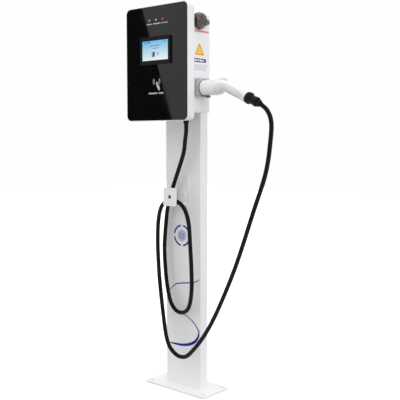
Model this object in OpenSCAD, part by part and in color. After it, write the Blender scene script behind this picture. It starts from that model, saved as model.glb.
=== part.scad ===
// Pedestal charging post: a steel column on a floor plate, a wall box bolted to its front,
// a parked charging gun on the box's side and a cable looped over a hanger on the column.
// Millimetres. X runs to the right seen from the front, Y to the back, Z up.
// The origin is the centre of the base plate's underside.

/* [Base] */
// Width of the base plate
base_w = 300; // [260:5:400]
// Depth of the base plate
base_d = 150; // [130:5:240]
// Thickness of the base plate
base_t = 8; // [6:1:15]
// Radius of the base plate's corners
base_r = 12; // [4:1:16]
// Spacing of the floor anchors across the base
anchor_x = 260; // [220:5:262]
// Spacing of the floor anchors front to back
anchor_y = 110; // [80:5:112]
// Diameter of the floor anchor holes
anchor_d = 14; // [9:1:16]
// Width of the cable slot through the base
duct_w = 100; // [60:5:140]
// Depth of the cable slot through the base
duct_d = 20; // [12:1:28]

/* [Column] */
// Width of the column
post_w = 174; // [160:2:210]
// Depth of the column with its rear cover
post_d = 38; // [34:1:60]
// Sheet thickness of the column
post_wall = 2.5; // [1.5:0.5:4]
// Outside bend radius of the column's edges
post_r = 4; // [3:0.5:5]
// Height of the column's top edge above the floor
post_top = 1340; // [1330:5:1370]
// Width of the folded lips that carry the rear cover
lip_w = 15; // [12:1:20]
// Thickness of the rear cover
rear_t = 1.5; // [1:0.5:3]
// Thickness of the plastic top cap
cap_t = 3; // [2:0.5:5]

/* [Housing] */
// Width of the rear housing
housing_w = 276; // [260:2:284]
// Height of the rear housing
housing_h = 347; // [330:1:360]
// Depth of the rear housing
housing_d = 91; // [88:1:110]
// Height of the housing's underside above the floor
housing_z = 1024; // [1020:1:1040]
// Wall of the rear housing
housing_wall = 3.5; // [2.5:0.5:4.5]
// Corner radius of the housing seen from the front
housing_r = 12; // [6:1:16]
// Depth of the wall bracket between column and housing
bracket_depth = 11; // [9:1:20]
// Width of the wall bracket
bracket_w = 150; // [130:2:160]
// Height of the wall bracket
bracket_h = 270; // [240:5:280]
// Sheet thickness of the wall bracket
bracket_t = 2; // [1.5:0.5:3]

/* [Front cover] */
// Width of the front cover
cover_w = 300; // [296:2:330]
// Height of the front cover
cover_h = 400; // [390:2:430]
// Depth of the front cover
cover_d = 33; // [32:1:45]
// Side wall of the front cover
cover_wall = 3; // [2.5:0.5:4]
// Corner radius of the front cover
cover_r = 20; // [14:1:26]
// How far the cover hangs below the housing
cover_drop = 27; // [20:1:30]
// Thickness of the black glass
glass_t = 4; // [3:0.5:5]
// White rim left around the glass
glass_rim = 1.5; // [1:0.5:4]
// Thickness of the gasket between cover and housing
gasket_t = 2; // [1:0.5:4]
// Height between the cover's side screws
cover_screw_pitch = 115.6; // [100:0.2:120]

/* [Display] */
// Width of the raised display bezel
bezel_w = 146; // [140:1:160]
// Height of the raised display bezel
bezel_h = 96; // [90:1:110]
// How far the bezel stands proud of the glass
bezel_proud = 6; // [3:0.5:10]
// Width of the lit screen
screen_w = 126; // [110:1:130]
// Height of the lit screen
screen_h = 68; // [60:1:76]
// Height of the screen's centre above the cover's lower edge
screen_up = 245; // [220:1:260]
// Diameter of the status lamps
led_d = 6; // [5:0.5:8]
// Spacing of the status lamps
led_pitch = 32; // [20:1:40]
// Height of the lamps above the cover's lower edge
led_up = 351; // [340:1:365]
// Side of the square card reader board
reader_size = 70; // [50:1:90]
// Height of the card reader's centre above the cover's lower edge
reader_up = 129; // [100:1:140]

/* [Emergency stop] */
// Distance from the housing's front edge back to the button's axis
stop_back = 33; // [33:1:40]
// Height of the button's axis above the housing's underside
stop_up = 313; // [290:1:314]
// Diameter of the clear guard
guard_d = 58; // [54:1:58]
// Height of the guard above the housing's side
guard_h = 21.5; // [21.5:0.5:30]
// Wall of the guard's lid
guard_wall = 2; // [1.5:0.5:2.5]
// Reach of the padlock ear from the button's axis
ear_reach = 52; // [46:1:54]
// Diameter of the padlock hole
ear_hole_d = 8; // [6:0.5:9]
// Diameter of the mushroom head
head_d = 26; // [24:1:32]
// Diameter of the plunger
plunger_d = 12; // [8:1:14]
// Travel of the button
stop_travel = 4.5; // [3:0.5:4.5]

/* [Charging gun] */
// Side of the square gun holder
holder_size = 62; // [62:1:70]
// How far the gun holder stands out from the housing's side
holder_proud = 17; // [15:1:24]
// Distance from the housing's front edge back to the gun's axis
gun_back = 41; // [39:1:50]
// Height of the gun's axis above the housing's underside
gun_up = 85; // [78:1:110]
// Diameter of the connector nose
nose_d = 50; // [46:1:52]
// Length of the nose inside the holder
nose_len = 45; // [35:1:45]
// Diameter of the gun's barrel
barrel_d = 53; // [53:0.5:56]
// Length of the gun's barrel
barrel_len = 62; // [56:1:70]
// Diameter of the handle
handle_d = 38; // [34:1:40]
// Length of the handle from its front centre
handle_len = 102; // [94:1:102]
// Downward tilt of the handle in degrees
handle_tilt = 24; // [21:0.5:25]

/* [Cable hanger] */
// Width of the hanger's fixing plate
mount_w = 68; // [60:1:80]
// Height of the hanger's fixing plate
mount_h = 125; // [100:1:130]
// Height of the fixing plate's lower edge above the floor
mount_z = 677; // [670:1:690]
// Width of the hanger's front plate
hook_w = 64; // [54:1:66]
// Height of the hanger's front plate
hook_h = 66; // [60:1:70]
// Distance from the column to the hanger's front face
hook_reach = 71; // [69:1:80]
// Outside radius of the curved saddle under the cable
saddle_r = 54; // [50:1:54]
// Width of the curved saddle
saddle_w = 44; // [36:1:46]
// Height of the saddle's top above the floor
saddle_z = 700; // [696:1:700]
// Sheet thickness of the hanger
hook_t = 3; // [2:0.5:4]

/* [Charging cable] */
// Outside diameter of the charging cable
cable_d = 15; // [13:0.5:15.5]

/* [Equipment] */
// Length of the mounting rail inside the housing
rail_len = 200; // [180:2:210]
// Height of the mounting rail above the housing's underside
rail_up = 262; // [255:1:275]
// Width of the control board
board_w = 150; // [120:2:160]
// Height of the control board
board_h = 116; // [100:2:120]
// Length of the control board's standoffs
standoff_len = 12; // [8:1:20]

/* [Hidden] */
$fn = 64;
slide_fit = 0.05;                     // radial clearance of a pin or shaft that turns or slides
loose_fit = 0.3;                      // clearance of a part that is dropped into its place
screw_fit = 0.1;                      // radial clearance of a screw in its hole
cut = 1;                              // how far a cut runs past a face

post_front = -post_d / 2;             // Y of the column's front face
housing_back = post_front - bracket_depth;
housing_front = housing_back - housing_d;
housing_floor = housing_back - housing_wall;   // Y of the inner back wall
housing_side = housing_w / 2;
cover_back = housing_front - gasket_t;
cover_front = cover_back - cover_d;
cover_z = housing_z - cover_drop;
rim_w = 7;                            // width of the housing's sealing rim
shelf_w = 9;                          // width of the shelf behind the glass
shelf_t = 2.5;
back_t = 3;                           // thickness of the cover's rear ring
glass_back = cover_front + glass_t;
chassis_y = glass_back + shelf_t;     // front face of the display plate
chassis_t = 1.5;
chassis_tab = 20;                     // how far the plate's bent sides reach back

screen_z = cover_z + screen_up;
led_z = cover_z + led_up;
reader_z = cover_z + reader_up;
bezel_front = cover_front - bezel_proud;
bezel_lip_t = 1.4;
lens_t = 1.2;
panel_margin = 4;                     // how far the screen module reaches past the lit area
neck_w = bezel_w - 7;
neck_h = bezel_h - 7;

stop_y = housing_front + stop_back;
stop_z = housing_z + stop_up;
guard_r = guard_d / 2;
guard_base_t = 4;
ear_t = 3;
ear_r = 8;
hinge_gap = 2.6;                      // from the lid's rim to the hinge axis
hinge_y = stop_y - guard_r - hinge_gap;
hinge_x = housing_side + guard_base_t + 5;
knuckle_r = 2.6;
knuckle_len = 6;
pin_r = 1.2;
collar_r = 14.5;
collar_t = 4;
barrel_r = 11;

gun_y = housing_front + gun_back;
gun_z = housing_z + gun_up;
holder_face = housing_side + holder_proud;
nose_r = nose_d / 2;
nose_fit = 0.6;
cup_r = nose_r + nose_fit + 2.4;
seal_gap = 0.3;
seal_t = 1.9;
gun_x0 = holder_face + seal_gap + seal_t;      // front face of the gun's shell
gun_x1 = gun_x0 + barrel_len;
handle_x = gun_x1 + 33;               // front centre of the handle
handle_z = gun_z + 3.5;
handle_r = handle_d / 2;
nose_root = 8;                        // how far the nose is held inside the shell
latch_w = 8;
latch_gap = 0.6;
latch_floor = gun_z + nose_r - 5.5;   // floor of the groove that the latch lies in
latch_pivot_x = gun_x0 + 48;
latch_pivot_z = gun_z + barrel_d / 2 - 4;
grip_end = [handle_x + handle_len * cos(handle_tilt), handle_z - handle_len * sin(handle_tilt)];
grip_ring_r = handle_r + 2;           // the collar's ribbed ring
collar_len = 46;
boot_len = 14;

hook_y = post_front - hook_reach;     // front face of the hanger's front plate
mount_t = 2;
saddle_cz = saddle_z - saddle_r;
hook_z = saddle_z - 9;
hook_hole_z = hook_z + hook_h / 2;

cable_r = cable_d / 2;
gland_x = 70;                         // over the start of the cable's route
gland_y = housing_front + 44;
boot_gap = 0.2;                       // between the boot's end and the cable's end face
gland_hex = 30;
gland_thread_r = 12.4;
gland_flange_t = 5;
gland_nut_len = 16;

rail_z = housing_z + rail_up;
rail_h = 35;
rail_d = 7.5;
module_h = 84;
module_d = 62;
board_z = housing_z + 30;             // lower edge of the control board
board_x = -22;
board_t = 1.6;
supply_x = 0;
supply_z = board_z + board_h + 24;
supply_r = 15;

// The charging cable's centre line, from inside the housing to the gun's boot
ROUTE = [
    [70, -77, 1046], [70, -77, 1000], [67, -74, 960], [56, -68, 925], [38, -59, 875],
    [-26, -45, 755], [-58, -38, 685], [-70, -38, 610], [-77, -38, 530], [-70, -41, 450],
    [-60, -41, 380], [-41, -43, 325], [-8, -48, 297], [34, -54, 297], [68, -61, 325], [85, -66, 385],
    [81, -62, 465], [75, -62, 550], [75, -69, 626], [62, -75, 678], [34, -76, 703.5], [0, -77, 711],
    [-34, -76, 703.5], [-61, -74, 677], [-75, -73, 624], [-76, -75, 550], [-71, -77, 480],
    [-63, -78, 400], [-45, -79, 280], [-30, -77, 195], [-5, -76, 154], [43, -79, 138], [95, -81, 164],
    [188, -82, 280], [290, -81, 480], [372, -80, 690], [422, -79, 825], [441, -80, 935],
    [442, -80, 992], [426, -80, 1026]
];
RING_SPACING = 39;                    // along the cable, between the rings of its tube
SIDES = 10;
FINE = 8;                             // steps of the smooth curve between two route points

// ---- shared shapes ----

// A flat rectangle with round corners, centred
module rounded(w, h, r) {
    square([w - 2 * r, h], center = true);
    square([w, h - 2 * r], center = true);
    for (x = [-1, 1], y = [-1, 1])
        translate([x * (w / 2 - r), y * (h / 2 - r)]) circle(r);
}

// Extrudes a front-view outline from Y = y_front back to Y = y_rear
module upright(y_front, y_rear, x = 0, z = 0) {
    translate([x, y_rear, z]) rotate([90, 0, 0]) linear_extrude(y_rear - y_front) children();
}

// A rod or bore along X
module rod_x(x0, x1, r, y = 0, z = 0, fn = 64) {
    translate([x0, y, z]) rotate([0, 90, 0]) cylinder(h = x1 - x0, r = r, $fn = fn);
}

// A rod or bore along Y
module rod_y(y0, y1, r, x = 0, z = 0, fn = 64) {
    translate([x, y1, z]) rotate([90, 0, 0]) cylinder(h = y1 - y0, r = r, $fn = fn);
}

// A box between two corners
module block(low, high) {
    translate(low) cube(high - low);
}

// ---- base and column ----

module base_plate() {
    color("whitesmoke") difference() {
        linear_extrude(base_t) difference() {
            rounded(base_w, base_d, base_r);
            rounded(duct_w, duct_d, duct_d / 2 - 0.1);
        }
        for (x = [-1, 1], y = [-1, 1])
            translate([x * anchor_x / 2, y * anchor_y / 2, -cut])
                cylinder(h = base_t + 2 * cut, d = anchor_d);
    }
}

column_d = post_d - rear_t;           // depth of the folded column alone
lip_x = post_w / 2 - post_wall - lip_w / 2;
cover_screw_r = 2;
cover_screw_zs = [for (k = [0:2]) base_t + 50 + k * (post_top - base_t - 100) / 2];
bracket_bolt_x = bracket_w / 2 - 25;
bracket_z = housing_z + (housing_h - bracket_h) / 2 - 6;
bracket_bolt_zs = [bracket_z + 30, bracket_z + bracket_h - 30];
bolt_r = 4;
mount_screw_x = mount_w / 2 - 10;
mount_screw_zs = [mount_z + 10, mount_z + mount_h - 10];
mount_screw_r = 2.5;

module column_outline() {
    back = post_front + column_d;
    difference() {
        union() {
            for (x = [-1, 1]) translate([x * (post_w / 2 - post_r), post_front + post_r]) circle(post_r);
            translate([-post_w / 2 + post_r, post_front]) square([post_w - 2 * post_r, column_d]);
            translate([-post_w / 2, post_front + post_r]) square([post_w, column_d - post_r]);
        }
        translate([-post_w / 2 + post_wall, post_front + post_wall])
            square([post_w - 2 * post_wall, column_d - 2 * post_wall]);
        translate([-post_w / 2 + post_wall + lip_w, 0])
            square([post_w - 2 * post_wall - 2 * lip_w, back + cut]);
    }
}

module post_column() {
    color("whitesmoke") difference() {
        translate([0, 0, base_t]) linear_extrude(post_top - base_t) column_outline();
        for (x = [-1, 1], z = cover_screw_zs)
            rod_y(0, post_d, cover_screw_r + screw_fit, x * lip_x, z);
        for (x = [-1, 1], z = bracket_bolt_zs)
            rod_y(-post_d, 0, bolt_r + screw_fit, x * bracket_bolt_x, z);
        for (x = [-1, 1], z = mount_screw_zs)
            rod_y(-post_d, 0, mount_screw_r + screw_fit, x * mount_screw_x, z);
        rod_y(-post_d, 0, supply_r + 1, supply_x, supply_z);
    }
}

module post_rear_cover() {
    y0 = post_d / 2 - rear_t;
    h = post_top - base_t - 2 * loose_fit;
    color("whitesmoke") difference() {
        upright(y0, y0 + rear_t, 0, base_t + loose_fit + h / 2) rounded(post_w - 1, h, 3);
        for (x = [-1, 1], z = cover_screw_zs)
            rod_y(0, post_d, cover_screw_r + screw_fit, x * lip_x, z);
    }
}

// Pan head with a cross recess and its shank, along Y, head towards +Y
module back_screw(r, head_r, head_t, grip, x, z, face) {
    difference() {
        union() {
            rod_y(face - grip, face, r, x, z);
            rod_y(face, face + head_t, head_r, x, z);
        }
        block([x - head_r * 0.55, face + head_t * 0.5, z - head_r * 0.12],
              [x + head_r * 0.55, face + head_t + cut, z + head_r * 0.12]);
        block([x - head_r * 0.12, face + head_t * 0.5, z - head_r * 0.55],
              [x + head_r * 0.12, face + head_t + cut, z + head_r * 0.55]);
    }
}

module post_cover_screws() {
    color("silver") for (x = [-1, 1], z = cover_screw_zs)
        back_screw(cover_screw_r, 3.8, 2, 8, x * lip_x, z, post_d / 2);
}

module post_top_cap() {
    skirt = 12;
    inset = post_wall + loose_fit;
    color("dimgray") union() {
        translate([0, 0, post_top]) linear_extrude(cap_t) rounded(post_w, post_d, post_r);
        translate([0, -rear_t / 2, post_top - skirt]) linear_extrude(skirt) difference() {
            square([post_w - 2 * inset, column_d - 2 * inset], center = true);
            square([post_w - 2 * inset - 4, column_d - 2 * inset - 4], center = true);
        }
    }
}

// ---- wall bracket ----

bracket_lip = 13;
housing_screw_x = bracket_w / 2 - bracket_lip / 2 - 0.5;
housing_screw_zs = [bracket_z + 14, bracket_z + bracket_h - 14];
housing_screw_r = 2.5;

module mounting_bracket() {
    x1 = bracket_w / 2;
    color("silver") difference() {
        translate([0, 0, bracket_z]) linear_extrude(bracket_h) difference() {
            translate([-x1, housing_back]) square([bracket_w, bracket_depth]);
            translate([-x1 + bracket_t, housing_back + bracket_t])
                square([bracket_w - 2 * bracket_t, bracket_depth - 2 * bracket_t]);
            translate([-x1 + bracket_lip, housing_back - cut])
                square([bracket_w - 2 * bracket_lip, bracket_depth - bracket_t]);
        }
        for (x = [-1, 1], z = bracket_bolt_zs)
            rod_y(housing_back, 0, bolt_r + screw_fit, x * bracket_bolt_x, z);
        for (x = [-1, 1], z = housing_screw_zs)
            rod_y(housing_back - cut, housing_back + bracket_t + cut, housing_screw_r + screw_fit,
                  x * housing_screw_x, z);
        rod_y(housing_back, 0, supply_r + 1, supply_x, supply_z);
    }
}

module bracket_bolts() {
    head_t = 5;
    nut_t = 6.5;
    web = post_front - bracket_t;
    inside = post_front + post_wall;
    color("silver") for (x = [-1, 1], z = bracket_bolt_zs) union() {
        rod_y(web, inside + nut_t + 3, bolt_r, x * bracket_bolt_x, z);
        rod_y(web - head_t, web, 7.5, x * bracket_bolt_x, z, 6);
        rod_y(inside, inside + nut_t, 7.5, x * bracket_bolt_x, z, 6);
    }
}

// ---- rear housing ----

module rear_housing() {
    mid = housing_z + housing_h / 2;
    inner_w = housing_w - 2 * housing_wall;
    inner_h = housing_h - 2 * housing_wall;
    color("white") difference() {
        union() {
            difference() {
                upright(housing_front, housing_back, 0, mid) rounded(housing_w, housing_h, housing_r);
                upright(housing_front - cut, housing_floor, 0, mid)
                    rounded(inner_w, inner_h, housing_r - housing_wall);
            }
            // screw pillars for the cover in the four corners
            for (x = [-1, 1], z = [-1, 1])
                rod_y(housing_front, housing_floor + 0.5, 5, x * (inner_w / 2 - 5), mid + z * (inner_h / 2 - 5));
        }
        for (x = [-1, 1], z = housing_screw_zs)
            rod_y(housing_floor - cut, housing_back + cut, housing_screw_r + screw_fit, x * housing_screw_x, z);
        rod_y(housing_floor - cut, housing_back + cut, supply_r + 1, supply_x, supply_z);
        rod_x(housing_side - housing_wall - cut, housing_side + cut, barrel_r + 0.25, stop_y, stop_z);
        rod_x(housing_side - housing_wall - cut, housing_side + cut, cup_r + loose_fit, gun_y, gun_z);
        for (y = [-1, 1], z = [-1, 1])
            rod_x(housing_side - housing_wall - cut, housing_side + cut, holder_screw_r + screw_fit,
                  gun_y + y * holder_screw_at, gun_z + holder_lift + z * holder_screw_at);
        translate([gland_x, gland_y, housing_z - cut])
            cylinder(h = housing_wall + 2 * cut, r = gland_thread_r + screw_fit);
    }
}

module housing_screws() {
    color("silver") for (x = [-1, 1], z = housing_screw_zs) union() {
        rod_y(housing_floor, housing_back + bracket_t + 1.5, housing_screw_r, x * housing_screw_x, z);
        rod_y(housing_floor - 3, housing_floor, 4.6, x * housing_screw_x, z);
    }
}

module cover_gasket() {
    mid = housing_z + housing_h / 2;
    color("dimgray") upright(cover_back, housing_front, 0, mid) difference() {
        rounded(housing_w - 2, housing_h - 2, housing_r - 1);
        rounded(housing_w - 2 * housing_wall, housing_h - 2 * housing_wall, housing_r - housing_wall);
    }
}

// ---- front cover, glass and display ----

side_screw_y = cover_back - 9;
side_screw_zs = [for (k = [0:3]) cover_z + 26 + k * cover_screw_pitch];
side_screw_r = 1.5;
side_head_r = 3.2;
side_head_t = 1.4;

module front_cover() {
    mid = cover_z + cover_h / 2;
    housing_mid = housing_z + housing_h / 2;
    color("white") difference() {
        upright(cover_front, cover_back, 0, mid) rounded(cover_w, cover_h, cover_r);
        upright(cover_front - cut, glass_back, 0, mid)
            rounded(cover_w - 2 * glass_rim, cover_h - 2 * glass_rim, cover_r - glass_rim);
        upright(cover_front - cut, cover_back - back_t, 0, mid)
            rounded(cover_w - 2 * cover_wall - 2 * shelf_w, cover_h - 2 * cover_wall - 2 * shelf_w,
                    cover_r - cover_wall - shelf_w + 4);
        upright(chassis_y, cover_back - back_t, 0, mid)
            rounded(cover_w - 2 * cover_wall, cover_h - 2 * cover_wall, cover_r - cover_wall);
        upright(cover_front - cut, cover_back + cut, 0, housing_mid)
            rounded(housing_w - 2 * rim_w, housing_h - 2 * rim_w, housing_r - housing_wall);
        for (x = [-1, 1], z = side_screw_zs) {
            rod_x(x * cover_w / 2 - 6, x * cover_w / 2 + 6, side_screw_r + screw_fit, side_screw_y, z);
            rod_x(x * (cover_w / 2 - side_head_t / 2) - side_head_t / 2 - (x < 0 ? cut : 0),
                  x * (cover_w / 2 - side_head_t / 2) + side_head_t / 2 + (x > 0 ? cut : 0),
                  side_head_r + screw_fit, side_screw_y, z);
        }
    }
}

module cover_screws() {
    color("silver") for (x = [-1, 1], z = side_screw_zs)
        translate([x * cover_w / 2, side_screw_y, z]) mirror([x < 0 ? 1 : 0, 0, 0]) difference() {
            union() {
                rod_x(-side_head_t + 0.1, -0.1, side_head_r);
                rod_x(-cover_wall - chassis_t - 2, -side_head_t + 0.1, side_screw_r);
            }
            block([-0.7, -side_head_r * 0.7, -0.4], [cut, side_head_r * 0.7, 0.4]);
        }
}

module display_chassis() {
    mid = cover_z + cover_h / 2;
    w = cover_w - 2 * cover_wall - 2 * loose_fit;
    h = cover_h - 2 * cover_wall - 2 * loose_fit;
    color("silver") difference() {
        union() {
            upright(chassis_y, chassis_y + chassis_t, 0, mid) rounded(w, h, cover_r - cover_wall - loose_fit);
            for (x = [-1, 1])
                block([x * (w / 2 - chassis_t / 2) - chassis_t / 2, chassis_y, cover_z + cover_r + 1],
                      [x * (w / 2 - chassis_t / 2) + chassis_t / 2, chassis_y + chassis_tab,
                       cover_z + cover_h - cover_r - 1]);
        }
        // ribbon cable slot behind the screen, and an access window below it
        upright(chassis_y - cut, chassis_y + chassis_t + cut, 0, screen_z) square([60, 20], center = true);
        for (x = [-1, 1], z = side_screw_zs)
            rod_x(x * w / 2 - 4, x * w / 2 + 4, side_screw_r + screw_fit, side_screw_y, z);
    }
}

module front_glass() {
    mid = cover_z + cover_h / 2;
    edge = glass_rim + 0.2;
    color("black") difference() {
        upright(cover_front, glass_back, 0, mid)
            rounded(cover_w - 2 * edge, cover_h - 2 * edge, cover_r - edge);
        upright(cover_front - cut, glass_back + cut, 0, screen_z)
            rounded(neck_w + 1, neck_h + 1, 3);
        for (k = [-1:1])
            rod_y(cover_front - cut, glass_back + cut, led_d / 2 + 0.2, k * led_pitch, led_z);
    }
}

module lcd_bezel() {
    pocket_w = screen_w + 2 * panel_margin + 2 * loose_fit;
    pocket_h = screen_h + 2 * panel_margin + 2 * loose_fit;
    color("dimgray") difference() {
        union() {
            upright(bezel_front, cover_front, 0, screen_z) rounded(bezel_w, bezel_h, 5);
            upright(cover_front - cut, chassis_y, 0, screen_z) rounded(neck_w, neck_h, 2.5);
        }
        upright(bezel_front - cut, chassis_y, 0, screen_z) rounded(screen_w, screen_h, 1.5);
        upright(bezel_front + bezel_lip_t, chassis_y + cut, 0, screen_z) square([pocket_w, pocket_h], center = true);
    }
}

module lcd_lens() {
    color("lightcyan") upright(bezel_front + bezel_lip_t, bezel_front + bezel_lip_t + lens_t, 0, screen_z)
        square([screen_w + 2 * panel_margin, screen_h + 2 * panel_margin], center = true);
}

module lcd_panel() {
    front = bezel_front + bezel_lip_t + lens_t;
    color("skyblue") upright(front, chassis_y, 0, screen_z)
        square([screen_w + 2 * panel_margin, screen_h + 2 * panel_margin], center = true);
}

// One lamp: a domed body through the glass and a flange behind it
module lamp(k) {
    r = led_d / 2;
    union() {
        rod_y(cover_front - 0.4, chassis_y, r, k * led_pitch, led_z);
        rod_y(glass_back, chassis_y, r + 1, k * led_pitch, led_z);
        intersection() {
            translate([k * led_pitch, cover_front - 0.4 + r * 0.75, led_z]) sphere(r * 1.25);
            rod_y(cover_front - 3, cover_front - 0.3, r, k * led_pitch, led_z);
        }
    }
}

module led_green() { color("lime") lamp(-1); }
module led_yellow() { color("gold") lamp(0); }
module led_red() { color("red") lamp(1); }

module led_board() {
    rear = chassis_y + chassis_t;
    color("green") union() {
        block([-led_pitch - 14, rear, led_z - 9], [led_pitch + 14, rear + board_t, led_z + 9]);
        block([-8, rear + board_t - 0.1, led_z - 4], [8, rear + board_t + 5, led_z + 4]);
    }
}

module reader_board() {
    half = reader_size / 2;
    color("green") block([-half, chassis_y - board_t, reader_z - half], [half, chassis_y, reader_z + half]);
}

// ---- equipment inside the housing ----

standoff_x = board_w / 2 - 6;
standoff_z = board_h / 2 - 6;

module control_board() {
    y = housing_floor - standoff_len;
    zc = board_z + board_h / 2;
    color("seagreen") difference() {
        union() {
            block([board_x - board_w / 2, y - board_t, board_z],
                  [board_x + board_w / 2, y, board_z + board_h]);
            // relays, a transformer, capacitors and the row of plug-in terminals
            for (k = [0:2])
                block([board_x - 60 + k * 26, y - board_t - 16, zc + 14],
                      [board_x - 40 + k * 26, y - board_t + 0.1, zc + 44]);
            block([board_x + 22, y - board_t - 24, zc + 8], [board_x + 56, y - board_t + 0.1, zc + 44]);
            for (k = [0:2]) rod_y(y - board_t - 20, y - board_t + 0.1, 6, board_x - 50 + k * 17, zc - 12);
            block([board_x + 10, y - board_t - 3, zc - 24], [board_x + 34, y - board_t + 0.1, zc]);
            block([board_x - 60, y - board_t - 12, board_z + 6], [board_x + 60, y - board_t + 0.1, board_z + 18]);
        }
        for (x = [-1, 1], z = [-1, 1])
            rod_y(y - board_t - cut, y + cut, 1.7, board_x + x * standoff_x, zc + z * standoff_z);
    }
}

module board_standoffs() {
    y = housing_floor - standoff_len;
    zc = board_z + board_h / 2;
    color("gold") for (x = [-1, 1], z = [-1, 1]) union() {
        rod_y(y, housing_floor, 3.5, board_x + x * standoff_x, zc + z * standoff_z, 6);
        rod_y(y - board_t, y, 1.5, board_x + x * standoff_x, zc + z * standoff_z);
        rod_y(y - board_t - 2, y - board_t, 3, board_x + x * standoff_x, zc + z * standoff_z);
    }
}

// Top-hat rail: the crown stands off the back wall, the two flanges face the front
module din_rail() {
    t = 1;
    lip = 4.5;
    crown = rail_h / 2 - lip;
    color("silver") translate([-rail_len / 2, housing_floor, rail_z]) rotate([90, 0, 90])
        linear_extrude(rail_len) union() {
            translate([-t, -crown]) square([t, 2 * crown]);
            for (s = [-1, 1]) {
                translate([-rail_d, s * (crown - t / 2) - t / 2]) square([rail_d, t]);
                translate([-rail_d, s * (crown + lip / 2 - t / 2) - (lip + t) / 2]) square([t, lip + t]);
            }
        }
}

// A stepped device that clips on the rail
module rail_device(x, w, nose_h = 45) {
    front = housing_floor - rail_d;
    difference() {
        union() {
            block([x, front - module_d + 20, rail_z - module_h / 2], [x + w, front, rail_z + module_h / 2]);
            block([x, front - module_d, rail_z - nose_h / 2], [x + w, front, rail_z + nose_h / 2]);
        }
        for (s = [-1, 1], k = [0:1])
            rod_y(front - module_d - cut, front - module_d + 30, 2.5,
                  x + w * (0.25 + 0.5 * k), rail_z + s * (module_h / 2 - 9));
    }
}

breaker_x = -96;
contactor_x = -54;
meter_x = -14;
device_w = 36;
toggle_y = housing_floor - rail_d - module_d - 2;
toggle_r = 7;
toggle_w = 24;
toggle_pin_r = 1.5;

module breaker_body() {
    x = breaker_x;
    front = housing_floor - rail_d - module_d;
    color("lightgray") difference() {
        union() {
            rail_device(x, device_w);
            for (s = [0, 1])
                block([x + s * (device_w - 4), front - 5, rail_z - 9], [x + 4 + s * (device_w - 4), front + 1, rail_z + 9]);
        }
        rod_x(x + 4, x + device_w - 4, toggle_r + 0.6, toggle_y, rail_z);
        rod_x(x - cut, x + device_w + cut, toggle_pin_r + slide_fit, toggle_y, rail_z);
    }
}

module breaker_toggle() {
    x = breaker_x + (device_w - toggle_w) / 2;
    color("navy") union() {
        rod_x(x, x + toggle_w, toggle_r, toggle_y, rail_z);
        rod_x(breaker_x, breaker_x + device_w, toggle_pin_r, toggle_y, rail_z);
        translate([0, toggle_y, rail_z]) rotate([-35, 0, 0]) block([x, -15, -3], [x + toggle_w, -2, 3]);
    }
}

module contactor() {
    color("lightgray") rail_device(contactor_x, device_w, 56);
}

module energy_meter() {
    front = housing_floor - rail_d - module_d;
    color("lightgray") difference() {
        rail_device(meter_x, device_w, 50);
        block([meter_x + 5, front - cut, rail_z - 2], [meter_x + device_w - 5, front + 1, rail_z + 14]);
    }
}

module terminal_block() {
    n = 5;
    pitch = 13;
    x0 = -104;
    z0 = supply_z - 14;
    color("gray") difference() {
        block([x0, housing_floor - 30, z0], [x0 + n * pitch, housing_floor, z0 + 28]);
        for (k = [0:n - 1]) {
            translate([x0 + (k + 0.5) * pitch, housing_floor - 12, z0 - cut]) cylinder(h = 14, r = 3.5);
            rod_y(housing_floor - 31, housing_floor - 18, 3, x0 + (k + 0.5) * pitch, z0 + 8);
        }
    }
}

module earth_bar() {
    x0 = 30;
    x1 = 92;
    z = supply_z;
    color("goldenrod") difference() {
        union() {
            block([x0, housing_floor - 16, z - 5], [x1, housing_floor - 10, z + 5]);
            for (x = [x0 + 6, x1 - 6]) rod_y(housing_floor - 10.1, housing_floor, 4.5, x, z);
            for (k = [0:4]) rod_y(housing_floor - 19, housing_floor - 15.9, 3, x0 + 13 + k * 9, z);
        }
        for (k = [0:4])
            translate([x0 + 13 + k * 9, housing_floor - 13, z - 6]) cylinder(h = 12, r = 1.8);
    }
}

// Rubber bush for the supply lead through housing, bracket and column
module supply_grommet() {
    color("dimgray") translate([supply_x, 0, supply_z]) rotate([90, 0, 0]) difference() {
        union() {
            translate([0, 0, -post_front - post_wall]) cylinder(h = post_wall + bracket_depth + housing_wall, r = supply_r);
            translate([0, 0, -housing_floor]) cylinder(h = 3, r = supply_r + 4);
        }
        translate([0, 0, -post_front - post_wall - cut])
            cylinder(h = post_wall + bracket_depth + housing_wall + 5, r = supply_r - 4);
    }
}

// ---- cable gland ----

module cable_gland() {
    color("dimgray") translate([gland_x, gland_y, 0]) difference() {
        union() {
            translate([0, 0, housing_z - gland_flange_t])
                cylinder(h = gland_flange_t, r = gland_hex / 2 / cos(30), $fn = 6);
            translate([0, 0, housing_z - gland_flange_t])
                cylinder(h = gland_flange_t + housing_wall + 9, r = gland_thread_r);
            translate([0, 0, housing_z + housing_wall])
                cylinder(h = 5, r = gland_hex / 2 / cos(30) + 1, $fn = 6);
        }
        translate([0, 0, housing_z - gland_flange_t - cut]) cylinder(h = 30, r = cable_r + 0.9);
    }
}

module gland_nut() {
    top = housing_z - gland_flange_t;
    color("dimgray") translate([gland_x, gland_y, 0]) difference() {
        union() {
            translate([0, 0, top - 10]) cylinder(h = 10, r = (gland_hex - 1) / 2 / cos(30), $fn = 6);
            translate([0, 0, top - gland_nut_len]) cylinder(h = gland_nut_len, r1 = cable_r + 3, r2 = gland_hex / 2 - 1);
        }
        translate([0, 0, top - 9]) cylinder(h = 9 + cut, r = cable_r + 3.2);
        translate([0, 0, top - gland_nut_len - cut]) cylinder(h = gland_nut_len + 2, r = cable_r + 0.5);
    }
}

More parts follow.
